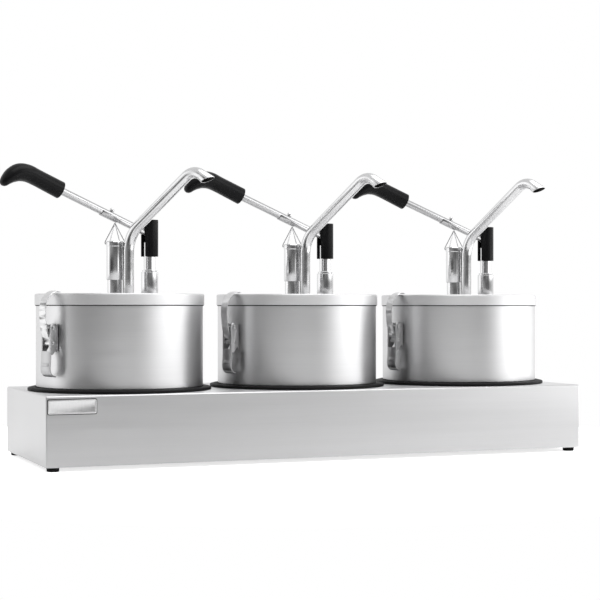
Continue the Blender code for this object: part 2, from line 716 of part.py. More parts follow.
def latch_lever():
    """A channel-shaped lever about the bracket's rivet, with a window and a finger tab."""
    face = [Vector(p) * MM for p in ((5, 1), (5, -27), (4.2, -38), (1, -46), (-2.6, -51.5), (-2.2, -54))]
    plate = extruded(sheet_outline(face, PLATE), -LATCH_HALF_WIDTH, LATCH_HALF_WIDTH)
    cheek = (arc((0, 0), LATCH_HUB, 90, 180, 3)
             + [(-LATCH_HUB, -22 * MM), (4.4 * MM, -34 * MM), (LATCH_CHEEK_EDGE, -26 * MM),
                (LATCH_CHEEK_EDGE, 0)])
    inside = LATCH_HALF_WIDTH - PLATE
    mesh = joined(plate, extruded(cheek, inside, LATCH_HALF_WIDTH),
                  extruded(cheek, -LATCH_HALF_WIDTH, -inside))
    pivot_hole = rod((0, -REACH, 0), (0, REACH, 0), RIVET_RADIUS + PIVOT_CLEARANCE, 8)
    window = box((3 * MM, -WINDOW_WIDTH / 2, WINDOW_BOTTOM), (9 * MM, WINDOW_WIDTH / 2, WINDOW_TOP))
    mesh = cut(mesh, pivot_hole, window)
    pin = HOOK_PIVOT - LATCH_PIVOT
    end = LATCH_HALF_WIDTH + HOOK_PIN_STANDS
    return joined(mesh, rod((pin.x, -end, pin.y), (pin.x, end, pin.y), RIVET_RADIUS, 8))


def latch_hook():
    """A spring strap from its eye on the lever, out through the window and over the lid's rim."""
    strap = [Vector(p) * MM for p in ((0.8, 1.6), (3.2, 5.2), (5.4, 9.4), (7, 15), (8.4, 24),
                                      (9.2, 34), (8.9, 42), (6.8, 49), (3, 54.6), (-2, 58.6),
                                      (-7.6, 60.3), (-11.2, 60.2), (-13.2, 59.3))]
    half = STRAP_WIDTH / 2
    mesh = joined(extruded(sheet_outline(strap, STRAP), -half, half),
                  rod((0, -half, 0), (0, half, 0), EYE_RADIUS, 10))
    return cut(mesh, rod((0, -REACH, 0), (0, REACH, 0), RIVET_RADIUS + PIVOT_CLEARANCE, 8))


def build():
    clear_scene()
    parts = part_collection()
    put(parts, "base_housing", base_housing(), STEEL)
    put(parts, "base_floor", base_floor(), STEEL)
    bumper = foot()
    for name, (x, y) in foot_places().items():
        put(parts, name, bumper, RUBBER).location = (x, y, 0)

    seat = ring()
    fixed = (("pot", pot(), STEEL), ("lid", lid(), STEEL), ("pump_cylinder", pump_cylinder(), POLISHED),
             ("post", post(), POLISHED), ("clevis", clevis(), BLACK_PLASTIC),
             ("hinge_pin", hinge_pin(), POLISHED), ("spout", spout(), POLISHED),
             ("latch_bracket", latch_bracket(), STEEL))
    plunger = (("piston_cap", piston_cap(), POLISHED), ("piston_rod", piston_rod(), POLISHED),
               ("return_spring", return_spring(), POLISHED), ("wire_link", wire_link(), POLISHED))
    on_lever = (("lever", lever(), POLISHED), ("lever_saddle", lever_saddle(), POLISHED),
                ("lever_grip", lever_grip(), BLACK_PLASTIC))
    clamp = latch_lever()
    hook = latch_hook()

    for index, turn in enumerate(STATION_TURN):
        number = index + 1
        station = axis_empty(parts, f"station_{number}_axis", station_centre(index),
                             (0, 0, math.radians(turn)))
        put(parts, f"ring_{number}", seat, RUBBER, station)
        for name, mesh, finish in fixed:
            put(parts, f"{name}_{number}", mesh, finish, station)
        slide = axis_empty(parts, f"plunger_{number}_axis", (*PISTON_XY, 0), parent=station)
        for name, mesh, finish in plunger:
            put(parts, f"{name}_{number}", mesh, finish, slide)
        hinge = axis_empty(parts, f"lever_{number}_axis", (*POST_XY, HINGE_Z),
                           (0, -LEVER_RISE, LEVER_HEADING), station)
        for name, mesh, finish in on_lever:
            put(parts, f"{name}_{number}", mesh, finish, hinge)
        out = Vector((math.cos(LATCH_HEADING), math.sin(LATCH_HEADING)))
        pivot = axis_empty(parts, f"latch_{number}_axis", (*(out * LATCH_PIVOT.x), LATCH_PIVOT.y),
                           (0, 0, LATCH_HEADING), station)
        put(parts, f"latch_lever_{number}", clamp, STEEL, pivot)
        eye = axis_empty(parts, f"hook_{number}_axis", (*(out * HOOK_PIVOT.x), HOOK_PIVOT.y),
                         (0, 0, LATCH_HEADING), station)
        put(parts, f"latch_hook_{number}", hook, STEEL, eye)
    bpy.context.view_layer.update()


build()
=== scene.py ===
"""Finished look of the three-station lever pump dispenser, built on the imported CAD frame.

Every piece is made in the frame of its own axis (its pot's, its lever's, its latch's), placed by the
joints and boxes of the frame, and rides on the CAD body that it belongs to.  Shapes are written in
millimetres and put() scales them once.
"""

import json
import math
from collections import namedtuple

import bmesh
import bpy
from mathutils import Matrix, Vector


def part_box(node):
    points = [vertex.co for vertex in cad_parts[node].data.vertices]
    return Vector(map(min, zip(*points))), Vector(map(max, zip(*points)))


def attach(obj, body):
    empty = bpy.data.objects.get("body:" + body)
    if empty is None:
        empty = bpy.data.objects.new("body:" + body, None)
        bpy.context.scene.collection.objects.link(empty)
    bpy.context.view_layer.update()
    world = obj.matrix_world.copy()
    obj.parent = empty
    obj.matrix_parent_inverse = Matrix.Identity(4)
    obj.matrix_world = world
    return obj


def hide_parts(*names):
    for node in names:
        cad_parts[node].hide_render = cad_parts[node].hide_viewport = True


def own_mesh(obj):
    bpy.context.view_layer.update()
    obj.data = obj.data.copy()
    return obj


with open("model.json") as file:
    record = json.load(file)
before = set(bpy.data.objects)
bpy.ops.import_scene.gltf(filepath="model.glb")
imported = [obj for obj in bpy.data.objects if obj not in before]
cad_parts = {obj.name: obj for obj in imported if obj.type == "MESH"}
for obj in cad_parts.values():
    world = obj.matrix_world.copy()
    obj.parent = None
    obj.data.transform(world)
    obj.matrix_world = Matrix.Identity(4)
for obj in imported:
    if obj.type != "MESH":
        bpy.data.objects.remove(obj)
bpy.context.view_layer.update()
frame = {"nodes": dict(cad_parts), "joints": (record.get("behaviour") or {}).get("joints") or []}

MM = 0.001
STATIONS = (1, 2, 3)
UP = Vector((0, 0, 1))
UPRIGHT = 0.999            # least rise of an upright piece's Z axis

# Segments of round pieces
LARGE_ROUND = 160
MIDDLE_ROUND = 64
ROUND = 48
SMALL_ROUND = 32

REACH = 10.0               # how far cutters run past what they cut
HOLE_GAP = 0.4             # round what stands in a hole

# Base (mm)
SHEET = 1.5
BEND = 2.2
BEND_STEPS = 7
WELL_RADIUS = 100.3
BADGE_WIDTH = 55.0
BADGE_HEIGHT = 16.0
BADGE_DEPTH = 1.0
BADGE_RIM = 1.6
BADGE_STEP = 0.35          # from the rim down to the field
BADGE_BORDER = 0.8         # of the dark pad that paints the shadow line round the plate
BADGE_INSET = Vector((2.6, -0.05, -20.3))      # from the top left of the base's front

# Pump (mm, in the frame of its pot's axis)
PISTON_XY = Vector((-6, -8))
SPOUT_XY = Vector((10.1, -17))
LEVER_HEADING = math.radians(210)
PISTON_TO_POST = 48.4
POST_XY = PISTON_XY - PISTON_TO_POST * Vector((math.cos(LEVER_HEADING), math.sin(LEVER_HEADING)))
LID_TOP = 200.0
LID_SHEET = 1.2
NECK_RADIUS = 9.2
NECK_BORE = 8.2
NECK_TOP = 241.0
FLANGE_RADIUS = 16.5
FLANGE = 3.0
WEB_TOP = 190.0
WEB = 4.0
WEB_HOLE = 3.6
BARREL_RADIUS = 11.5
BARREL_BORE = 10.0
BARREL_BOTTOM = 146.0
SUCTION_RADIUS = 6.0
SUCTION_BORE = 4.5
SUCTION_END = 40.0
SOCKET_FLOOR = 144.0
BLOCK_START = 5.5          # from the piston's axis
BLOCK_HALF_WIDTH = 8.5
BLOCK_BELOW = 9.0          # from the socket's floor
BLOCK_ABOVE = 7.0
BLOCK_BITE = 0.8           # into the tubes it is brazed to
RISER_RADIUS = 3.5
PASSAGE_RADIUS = 2.0
PASSAGE_START = 3.5
PASSAGE_DEPTH = 4.0
CAP_RADIUS = 10.3
CAP_BORE = 9.6
CAP_TOP = 263.2
CAP_BOTTOM = 216.6
CAP_ROOF = 1.3
CAP_LIP = 0.45             # the collar stands out and the bottom edge turns in by this
NOTCH_DEPTH = 3.4          # below the cap's top
NOTCH_RADIUS = 1.1
LINK_TOP = 284.6
LINK_WIRE = 0.6
LINK_STEP = 0.45           # the second wire passes this far under the first
LINK_SPREAD = math.radians(30)      # from the lever line to each wire's line
COIL_RADIUS = 5.8
COIL_WIRE = 0.7
COIL_GAP = 1.1             # from its end's centreline to the face it stands on
COIL_TURNS = 9
COIL_STEPS = 20            # points in each turn

# Lever, post and spout (mm)
HINGE_Z = 272.5
LEVER_RISE = math.radians(21.7)
LEVER_RADIUS = 4.5
LEVER_BACK = -4.5
LEVER_END = 141.0
SLEEVE_GAP = 0.2           # round the lever in its saddle and grip
SADDLE_START = 48.5
SADDLE_END = 72.0
SADDLE_RADIUS = 5.6
SADDLE_LIP = 0.9           # above the lever's axis
SCREW_PLACE = 59.0
SCREW_HOLE = 1.8
GRIP_BORE_START = 120.0
GRIP_BORE_END = 141.3
PIN_HOLE = 2.3
PIN_RADIUS = 2.1
PIN_START = -10.3
PIN_STOP = 8.4             # the hole is blind on the front side
PIN_GAP = 0.3
STUD_RADIUS = 4.0
NUT_RADIUS = 8.0
NUT_HOLE = 4.05
NUT_LOW, NUT_HIGH = 193.6, 198.5
CLEVIS_RADIUS = 10.5
CLEVIS_LOW, CLEVIS_HIGH = 245.8, 290.4
CLEVIS_BORE = 7.7
CLEVIS_BORE_TOP = -8.5     # from the hinge
CLEVIS_SLOT = 4.9          # half its width
CLEVIS_SLOT_BACK = -7.4
SPOUT_RADIUS = 6.5
SPOUT_WALL = 1.0
SPOUT_HEADING = math.radians(-42)
SPOUT_FOOT = 144.4
SPOUT_KNEE = Vector((0, 269.5))
SPOUT_ELBOW = Vector((101.2, 344.5))
SPOUT_TIP = Vector((129.8, 323.7))
KNEE_BEND = 40.0
ELBOW_BEND = 20.0
SPOUT_FLARE = 1.35         # the widening at that tip, beyond the cut end
MOUTH = Vector((118.5, 0, 329.4))
MOUTH_TILT = math.radians(22)
FACES_AXIS = -0.2          # a bore face's normal points outward by less

# Latch (mm, from the rivet that it turns on; its hook from the hook's pin)
LATCH_RADIUS = 107.5
POT_WALL = 100.55
RIVET_RADIUS = 1.3
RIVET_HEIGHT = 1.0
RIVET_GAP = 0.3
MOUNT_HEAD, HOOK_HEAD = 2.9, 2.4
MOUNT_HALF_WIDTH = 6.9
MOUNT_LOW, MOUNT_HIGH = -27, 5
LATCH_HALF_WIDTH = 8.5
PLATE = 1.2
WINDOW = ((3, -6, -26.5), (9, 6, 9))
LATCH_CUT = 15.0
TONGUE_HALF_WIDTH = 5.4
HOOK_PIN = Vector((0.8, -17.4))
HOOK_PIN_STANDS = 0.05
STRAP_HALF_WIDTH = 5.5
EYE_RADIUS = 2.9

# Outlines of turned pieces: (radius, height, bend) corners, in mm
FOOT_OUTLINE = [(0, 9.9, 0), (2.4, 9.9, 0), (4.2, 8.3, 0), (2.9, 8.3, 0), (2.9, 6.2, 0), (7.5, 6.2, 1.0),
                (6.9, 0, 1.1), (2.8, 0, 0.4), (2.2, 1.2, 0.4), (0, 1.2, 0)]
RING_OUTLINE = [(105, 89.35, 2.5), (110, 88.2, 1.3), (110, 85.3, 0.9), (99.8, 85.3, 0), (99.8, 80.5, 0.8),
                (97.4, 80.5, 0.8), (97.4, 88.9, 0), (98.2, 89.3, 0)]
POT_OUTLINE = [(0, 31, 0), (96, 31, 3), (96, 91.2, 1.2), (99, 93, 1.2), (99, 198.3, 0), (100, 198.3, 0),
               (100, 89.6, 0.7), (97, 89.6, 0), (97, 30, 4), (0, 30, 0)]
LID_OUTLINE = [(0, 200, 0), (101.6, 200, 2.0), (101.6, 186.6, 0.4), (100.35, 186.6, 0.3),
               (100.35, 187.8, 0.2), (100.7, 188.6, 0), (100.7, 198.8, 0.8), (0, 198.8, 0)]
# outline of the black ring that paints the shadow line under the lid's skirt (painted shade)
SHADE_RING_OUTLINE = [(101.0, 186.5, 0.1), (100.8, 185.7, 0.3), (100.06, 185.5, 0), (100.06, 186.5, 0)]
POST_OUTLINE = [(0, 263, 0), (7.3, 263, 0.5), (7.3, 229.4, 0.2), (9.2, 229.4, 0.5), (9.2, 226.9, 0),
                (10.5, 226.9, 0.5), (10.5, 200.3, 0.3), (4, 200.3, 0), (4, 193, 0.4), (0, 193, 0)]
SCREW_OUTLINE = [(0, 9.2, 0), (1.9, 8.7, 0.9), (3.0, 7.2, 0.5), (3.0, 4.9, 0.3), (1.4, 4.9, 0),
                 (1.4, -5.2, 0), (0, -5.2, 0)]
DRIVER_SLOT = ((-4, -0.4, 8.1), (4, 0.4, 12))

# Half of a link wire: (distance out, height above the cap's top), then above the wire's crest
LINK_LEG = ((10.2, -3.4), (11.4, -3.2), (11.8, -2.2), (11.5, -0.4), (10.4, 1.9), (6.2, 9.9))
LINK_CROWN = ((2.1, -3.4), (0.9, -1.0))

# The palm grip: (along the lever, up, half height, half width)
GRIP_MOUTH = ((130.7, 0.2, 9.4, 8.8), (130.95, 0.2, 10.1, 9.5))
GRIP_BODY = ((131, 0.2, 10.4, 9.8), (150, 0.6, 10.1, 10.4), (165, 0.9, 9.9, 11.2), (177, 0.6, 10.3, 12.4),
             (187, -2.8, 10.3, 12.8), (194, -9.6, 8.8, 11.8), (198, -16.5, 6.7, 9.8), (200, -22, 4.9, 7.2))
GRIP_TIP = ((200.5, -23.8, 3.6, 5.4), (200.8, -24.7, 2.2, 3.4), (200.9, -25, 0.8, 1.2))

# Latch: (out, up) points of bent sheet, and (out, up, bend) corners of its cheeks
PLATE_LINE = ((5, 1.5), (5, -14), (5, -27), (5.2, -38), (5.9, -46), (5, -51), (2, -54.6), (-2.4, -56))
PLATE_CHEEK = [(5.2, 1, 0), (5.2, 5.2, 0), (-4.9, 5.2, 4.4), (-4.9, -22, 3), (4.4, -34, 2), (5.2, -27, 0)]
MOUNT_CHEEK = [(POT_WALL - LATCH_RADIUS, -7, 0), (1.5, -4.4, 2), (4.1, 0.3, 3.4), (1.0, 4.1, 2.8),
               (POT_WALL - LATCH_RADIUS, 4.1, 0)]
TONGUE = [(5.1, -39.5), (5.7, -39.3), (7.2, -43.6), (6.4, -44.4), (5.2, -44)]
STRAP_LINE = ((0.8, 1.6), (3.2, 5.2), (5.4, 9.4), (7, 15), (8.4, 24), (9.2, 34), (8.9, 42), (6.8, 49),
              (3, 54.6), (-2, 58.6), (-7.6, 60.3), (-11.2, 60.2), (-13.2, 59.3))

# Finishes
ANISOTROPY = 0.7           # of brushed steel
QUARTER_TURN = 0.25
FINE_SHARE = 0.6           # of the fine brush lines in a grain, the rest being broad ones
FLOOR_GLOW = 0.75

# Studio: light by bearing in degrees (0 to the front, 90 to +X) at eye level and above it
FLOOR_RADIUS = 0.62
BACKDROP = 1.0
CEILING = 0.85
TO_ABOVE = (0.08, 0.16)    # rise of a direction over which one light passes into the next
TO_CEILING = (0.4, 0.52)
LEVEL_LIGHT = ((-180, 1.0), (-130, 1.2), (-114, 1.7), (-99, 1.4), (-86, 0.5), (-45, 0.3), (-24, 0.15),
               (14, 0.13), (36, 0.34), (58, 0.6), (85, 0.8), (115, 0.95), (180, 1.0))
ABOVE_LIGHT = ((-180, 1.0), (-130, 1.2), (-114, 1.6), (-99, 1.2), (-86, 0.2), (-60, 0.04), (-35, 0.15),
               (-10, 0.3), (8, 0.15), (26, 0.9), (40, 2.6), (62, 3.6), (100, 3.2), (125, 1.2), (180, 1.0))
CAMERA_PLACE = (-0.6783, -1.7327, 0.182)
CAMERA_TURN = math.radians(-21.87)
LENS = 89.2
LENS_SHIFT = 0.0147
CLIP_END = 200


# --- places ---------------------------------------------------------------------------------------

Station = namedtuple("Station", "number axis piston lever latch hook")


def joint(name):
    return next(j for j in frame["joints"] if j["name"] == name)


def upright_frame(name, sense=1):
    """A hinge's frame with Z up and Y along its axis, or against it where sense is -1."""
    found = joint(name)
    axis = Vector(found["axis"]) * sense
    return Matrix.Translation(found["pos_m"]) @ Matrix.Rotation(math.atan2(-axis.x, axis.y), 4, "Z")


def middle(node):
    low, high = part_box(node)
    return (low + high) / 2


def station(number):
    hinge = upright_frame(f"lever_press_{number}")
    turn = math.atan2(hinge[1][0], hinge[0][0]) - LEVER_HEADING
    centre = middle(f"ring_{number}")
    axis = Matrix.Translation((centre.x, centre.y, 0)) @ Matrix.Rotation(turn, 4, "Z")
    return Station(number, axis, axis @ Matrix.Translation((*(PISTON_XY * MM), 0)),
                   hinge @ Matrix.Rotation(-LEVER_RISE, 4, "Y"),
                   upright_frame(f"latch_open_{number}", -1), upright_frame(f"hook_swing_{number}", -1))


# --- mesh helpers ---------------------------------------------------------------------------------

def scratch(mesh):
    made = bpy.data.objects.new("scratch", mesh)
    bpy.context.scene.collection.objects.link(made)
    return made


def baked(made):
    """The evaluated mesh of a scratch object, which is then removed."""
    bpy.context.view_layer.update()
    depsgraph = bpy.context.evaluated_depsgraph_get()
    mesh = bpy.data.meshes.new_from_object(made.evaluated_get(depsgraph))
    bpy.data.objects.remove(made)
    return mesh


def written(edit, name):
    """The mesh of a bmesh, which is then freed."""
    mesh = bpy.data.meshes.new(name)
    edit.to_mesh(mesh)
    edit.free()
    return mesh


def edited(mesh, change):
    """The mesh after a bmesh operation on it."""
    edit = bmesh.new()
    edit.from_mesh(mesh)
    change(edit)
    edit.to_mesh(mesh)
    edit.free()
    return mesh


def moved(mesh, matrix):
    mesh.transform(matrix)
    return mesh


def shifted(mesh, x=0.0, y=0.0, z=0.0):
    return moved(mesh, Matrix.Translation((x, y, z)))


def rounded(corners, closed=True, steps=5):
    """An outline whose corners (x, z, bend) are rounded to their bend radius."""
    path = []
    last = len(corners) - 1
    for index, (x, z, bend) in enumerate(corners):
        corner = Vector((x, z))
        if bend <= 0 or (not closed and index in (0, last)):
            path.append(corner)
            continue
        before = Vector(corners[index - 1][:2])
        after = Vector(corners[(index + 1) % len(corners)][:2])
        back = (before - corner).normalized()
        on = (after - corner).normalized()
        half = back.angle(on) / 2
        centre = corner + (back + on).normalized() * bend / math.sin(half)
        first = corner + back * bend / math.tan(half) - centre
        end = corner + on * bend / math.tan(half) - centre
        sweep = first.angle_signed(end)
        for step in range(steps + 1):
            path.append(centre + Matrix.Rotation(-sweep * step / steps, 2) @ first)
    return path


def turned(corners, segments, closed=False, steps=5):
    """A body of revolution from (radius, height, bend) corners."""
    path = rounded(corners, closed, steps)
    edit = bmesh.new()
    points = [edit.verts.new((p.x, 0, p.y)) for p in path]
    following = points[1:] + points[:1] if closed else points[1:]
    edges = [edit.edges.new(pair) for pair in zip(points, following)]
    bmesh.ops.spin(edit, geom=points + edges, cent=(0, 0, 0), axis=(0, 0, 1), angle=2 * math.pi,
                   steps=segments)
    bmesh.ops.remove_doubles(edit, verts=edit.verts, dist=0.001)
    bmesh.ops.recalc_face_normals(edit, faces=edit.faces)
    return written(edit, "turned")


def box(low, high):
    edit = bmesh.new()
    bmesh.ops.create_cube(edit, size=1)
    for corner in edit.verts:
        corner.co = [low[i] + (corner.co[i] + 0.5) * (high[i] - low[i]) for i in range(3)]
    return written(edit, "box")


def rod(start, end, radius, segments=SMALL_ROUND):
    start, end = Vector(start), Vector(end)
    edit = bmesh.new()
    bmesh.ops.create_cone(edit, cap_ends=True, segments=segments, radius1=radius, radius2=radius,
                          depth=(end - start).length)
    turn = (end - start).to_track_quat("Z", "Y").to_matrix().to_4x4()
    return moved(written(edit, "rod"), Matrix.Translation((start + end) / 2) @ turn)


def extruded(outline, low, high):
    """An (x, z) outline, extruded along Y."""
    edit = bmesh.new()
    side = [edit.verts.new((x, low, z)) for x, z in outline]
    face = edit.faces.new(side)
    grown = bmesh.ops.extrude_face_region(edit, geom=[face])["geom"]
    for part in grown:
        if isinstance(part, bmesh.types.BMVert):
            part.co.y = high
    bmesh.ops.recalc_face_normals(edit, faces=edit.faces)
    return written(edit, "extruded")


def modified(mesh, kind, **settings):
    """The mesh after one modifier."""
    made = scratch(mesh)
    change = made.modifiers.new("change", kind)
    for name, value in settings.items():
        setattr(change, name, value)
    return baked(made)


def combined(mesh, others, operation):
    for other in others:
        tool = scratch(other)
        mesh = modified(mesh, "BOOLEAN", operation=operation, object=tool)
        bpy.data.objects.remove(tool)
    return mesh


def cut(mesh, *cutters):
    return combined(mesh, cutters, "DIFFERENCE")


def joined(mesh, *others):
    return combined(mesh, others, "UNION")


def grouped(*meshes):
    """Several solids in one mesh."""
    edit = bmesh.new()
    for mesh in meshes:
        edit.from_mesh(mesh)
    return written(edit, "grouped")


def eased(mesh, width, segments=2, angle=38):
    """The mesh with its sharp edges rounded."""
    return modified(mesh, "BEVEL", width=width, segments=segments, limit_method="ANGLE",
                    angle_limit=math.radians(angle), miter_outer="MITER_ARC")


def smooth_path(points, steps):
    """A Catmull-Rom curve through points of any size."""
    points = [Vector(point) for point in points]
    ends = [points[0] * 2 - points[1]] + points + [points[-1] * 2 - points[-2]]
    path = []
    for a, b, c, d in zip(ends, ends[1:], ends[2:], ends[3:]):
        for i in range(steps):
            t = i / steps
            path.append(0.5 * (2 * b + (c - a) * t + (2 * a - 5 * b + 4 * c - d) * t * t
                               + (3 * b - a - 3 * c + d) * t ** 3))
    path.append(points[-1])
    return path


def swept(path, rings, sides):
    """A solid along a path in the XZ plane; each ring is (across in the plane, half width in Y)."""
    edit = bmesh.new()
    loops = []
    for index, (here, (tall, wide)) in enumerate(zip(path, rings)):
        before = path[max(index - 1, 0)]
        after = path[min(index + 1, len(path) - 1)]
        along = (after - before).normalized()
        across = Vector((-along.y, along.x))
        loop = []
        for side in range(sides):
            angle = 2 * math.pi * side / sides
            point = here + across * tall * math.cos(angle)
            loop.append(edit.verts.new((point.x, wide * math.sin(angle), point.y)))
        loops.append(loop)
    for near, far in zip(loops, loops[1:]):
        for side in range(sides):
            after = (side + 1) % sides
            edit.faces.new((near[side], near[after], far[after], far[side]))
    edit.faces.new(loops[0][::-1])
    edit.faces.new(loops[-1])
    bmesh.ops.recalc_face_normals(edit, faces=edit.faces)
    return written(edit, "swept")


def wire(points, radius, resolution=4):
    """A round wire along points in space."""
    curve = bpy.data.curves.new("wire", "CURVE")
    curve.dimensions = "3D"
    curve.bevel_depth = radius
    curve.bevel_resolution = resolution
    curve.use_fill_caps = True
    spline = curve.splines.new("POLY")
    spline.points.add(len(points) - 1)
    for handle, place in zip(spline.points, points):
        handle.co = (*place, 1)
    mesh = baked(scratch(curve))
    bpy.data.curves.remove(curve)
    return edited(mesh, lambda e: bmesh.ops.remove_doubles(e, verts=e.verts, dist=0.002))


def strip_outline(centreline, thickness):
    """The closed outline of a bent strip of sheet, from its centreline."""
    left = []
    right = []
    for index, here in enumerate(centreline):
        before = centreline[max(index - 1, 0)]
        after = centreline[min(index + 1, len(centreline) - 1)]
        along = (after - before).normalized()
        side = Vector((-along.y, along.x)) * thickness / 2
        left.append(here + side)
        right.append(here - side)
    return left + right[::-1]


def put(name, mesh, place, body, finish, stands_for=(), sharp=32):
    """Show a mesh made in millimetres at a place in the frame, riding on a body.

    A tuple of finishes goes with the material indices of the mesh's faces.
    """
    made = bpy.data.objects.new(name, mesh.copy())
    made.data.name = name
    made.data.transform(Matrix.Scale(MM, 4))
    made.data.shade_smooth()
    made.data.set_sharp_from_angle(angle=math.radians(sharp))
    choices = [face.material_index for face in made.data.polygons]
    made.data.materials.clear()
    for each in finish if isinstance(finish, tuple) else (finish,):
        made.data.materials.append(each)
    made.data.polygons.foreach_set("material_index", choices)
    bpy.context.scene.collection.objects.link(made)
    turn = place.to_3x3().to_4x4()
    if turn[2][2] > UPRIGHT:
        # turned in its mesh, so that the box round it stays tight
        made.data.transform(turn)
        turn = Matrix.Identity(4)
    made.matrix_world = Matrix.Translation(place.translation) @ turn
    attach(made, body)
    if stands_for:
        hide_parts(*stands_for)
    return made


# --- materials ------------------------------------------------------------------------------------

class Nodes:
    """Short ways to add nodes to a tree."""

    def __init__(self, tree):
        self.tree = tree

    def node(self, kind, **settings):
        made = self.tree.nodes.new(kind)
        for name, value in settings.items():
            setattr(made, name, value)
        return made

    def link(self, source, target):
        self.tree.links.new(source, target)

    def filled(self, sockets, values):
        """Set each socket to its number, or link it to its source."""
        for socket, value in zip(sockets, values):
            if isinstance(value, (int, float)):
                socket.default_value = value
            else:
                self.link(value, socket)

    def math(self, operation, *values):
        made = self.node("ShaderNodeMath", operation=operation)
        self.filled(made.inputs, values)
        return made.outputs[0]

    def split(self, vector):
        made = self.node("ShaderNodeSeparateXYZ")
        self.link(vector, made.inputs[0])
        return made.outputs[:3]

    def between(self, value, low, high, start=0.3, end=0.7):
        """Map start..end to low..high; the usual start and end are those of a noise."""
        made = self.node("ShaderNodeMapRange")
        for name, number in (("From Min", start), ("From Max", end), ("To Min", low), ("To Max", high)):
            made.inputs[name].default_value = number
        self.link(value, made.inputs["Value"])
        return made.outputs["Result"]

    def camera_ray(self):
        return self.node("ShaderNodeLightPath").outputs["Is Camera Ray"]


class Finish(Nodes):
    """A Principled material."""

    def __init__(self, name, colour, roughness, metallic=0.0):
        self.material = bpy.data.materials.new(name)
        self.material.use_nodes = True
        super().__init__(self.material.node_tree)
        self.shader = self.tree.nodes["Principled BSDF"]
        self.colour = colour
        self.set("Base Color", (*colour, 1))
        self.set("Roughness", roughness)
        self.set("Metallic", metallic)

    def set(self, socket, value):
        self.shader.inputs[socket].default_value = value

    def place(self):
        return self.node("ShaderNodeTexCoord").outputs["Object"]

    def joined(self, x, y, z):
        made = self.node("ShaderNodeCombineXYZ")
        self.filled(made.inputs, (x, y, z))
        return made.outputs[0]

    def noise(self, vector, scale, detail=3.0, roughness=0.55):
        made = self.node("ShaderNodeTexNoise")
        made.inputs["Scale"].default_value = scale
        made.inputs["Detail"].default_value = detail
        made.inputs["Roughness"].default_value = roughness
        self.link(vector, made.inputs["Vector"])
        return made.outputs["Fac"]

    def lines(self, parts, scales, detail):
        """Noise whose three directions have their own scales, which draws it out into lines."""
        scaled = [self.math("MULTIPLY", part, scale) for part, scale in zip(parts, scales)]
        return self.noise(self.joined(*scaled), 1.0, detail)

    def grain(self, fine, broad):
        return self.math("ADD", self.math("MULTIPLY", fine, FINE_SHARE),
                         self.math("MULTIPLY", broad, 1 - FINE_SHARE))

    def shaded(self, factor):
        """Multiply the base colour by a grey factor."""
        made = self.node("ShaderNodeMix", data_type="RGBA", blend_type="MULTIPLY")
        made.inputs["Factor"].default_value = 1
        made.inputs[6].default_value = (*self.colour, 1)
        self.link(self.joined(factor, factor, factor), made.inputs[7])
        self.link(made.outputs[2], self.shader.inputs["Base Color"])

    def rough(self, value):
        self.link(value, self.shader.inputs["Roughness"])

    def brushed(self, tangent):
        """Spread the reflections across brush lines that run along a tangent."""
        self.link(tangent, self.shader.inputs["Tangent"])
        self.set("Anisotropic", ANISOTROPY)
        self.set("Anisotropic Rotation", QUARTER_TURN)

    def bump(self, height, strength, distance):
        made = self.node("ShaderNodeBump")
        made.inputs["Strength"].default_value = strength
        made.inputs["Distance"].default_value = distance
        self.link(height, made.inputs["Height"])
        self.link(made.outputs[0], self.shader.inputs["Normal"])


def steel(grey):
    """A steel's colour, with a trace of blue."""
    return (grey, grey, grey + 0.005)


def sheet_steel():
    """Satin sheet brushed along its length, and across on the two ends."""
    finish = Finish("satin_sheet", steel(0.62), 0.36, 1.0)
    x, y, z = finish.split(finish.place())
    facing = finish.split(finish.node("ShaderNodeTexCoord").outputs["Normal"])
    end = finish.math("GREATER_THAN", finish.math("ABSOLUTE", facing[0]), 0.7)
    side = finish.math("SUBTRACT", 1, end)
    along = finish.math("ADD", finish.math("MULTIPLY", x, side), finish.math("MULTIPLY", y, end))
    across = finish.math("ADD", finish.math("MULTIPLY", y, side), finish.math("MULTIPLY", x, end))
    grain = finish.grain(finish.lines((along, across, z), (9, 1500, 1500), 4),
                         finish.lines((along, across, z), (3, 160, 160), 2))
    cloud = finish.noise(finish.place(), 7, 2)
    finish.shaded(finish.math("MULTIPLY", finish.between(grain, 0.965, 1.025),
                              finish.between(cloud, 0.985, 1.01)))
    finish.rough(finish.between(grain, 0.32, 0.42))
    finish.bump(grain, 0.15, 0.00003)
    finish.brushed(finish.joined(side, end, 0))
    return finish.material


def turned_steel(name, colour, roughness, brush_lines):
    """Satin steel brushed round its axis, with so many brush lines in a metre."""
    low, high = roughness
    finish = Finish(name, colour, (low + high) / 2, 1.0)
    x, y, z = finish.split(finish.place())
    radius = finish.math("SQRT", finish.math("ADD", finish.math("MULTIPLY", x, x),
                                             finish.math("MULTIPLY", y, y)))
    safe = finish.math("MAXIMUM", radius, 0.0005)
    parts = (finish.math("DIVIDE", x, safe), finish.math("DIVIDE", y, safe),
             finish.math("ADD", radius, z))
    grain = finish.grain(finish.lines(parts, (1.6, 1.6, brush_lines), 4),
                         finish.lines(parts, (0.7, 0.7, brush_lines / 9), 2))
    finish.shaded(finish.between(grain, 0.965, 1.02))
    finish.rough(finish.between(grain, low, high))
    finish.bump(grain, 0.12, 0.000025)
    finish.brushed(finish.node("ShaderNodeTangent", direction_type="RADIAL", axis="Z").outputs[0])
    return finish.material


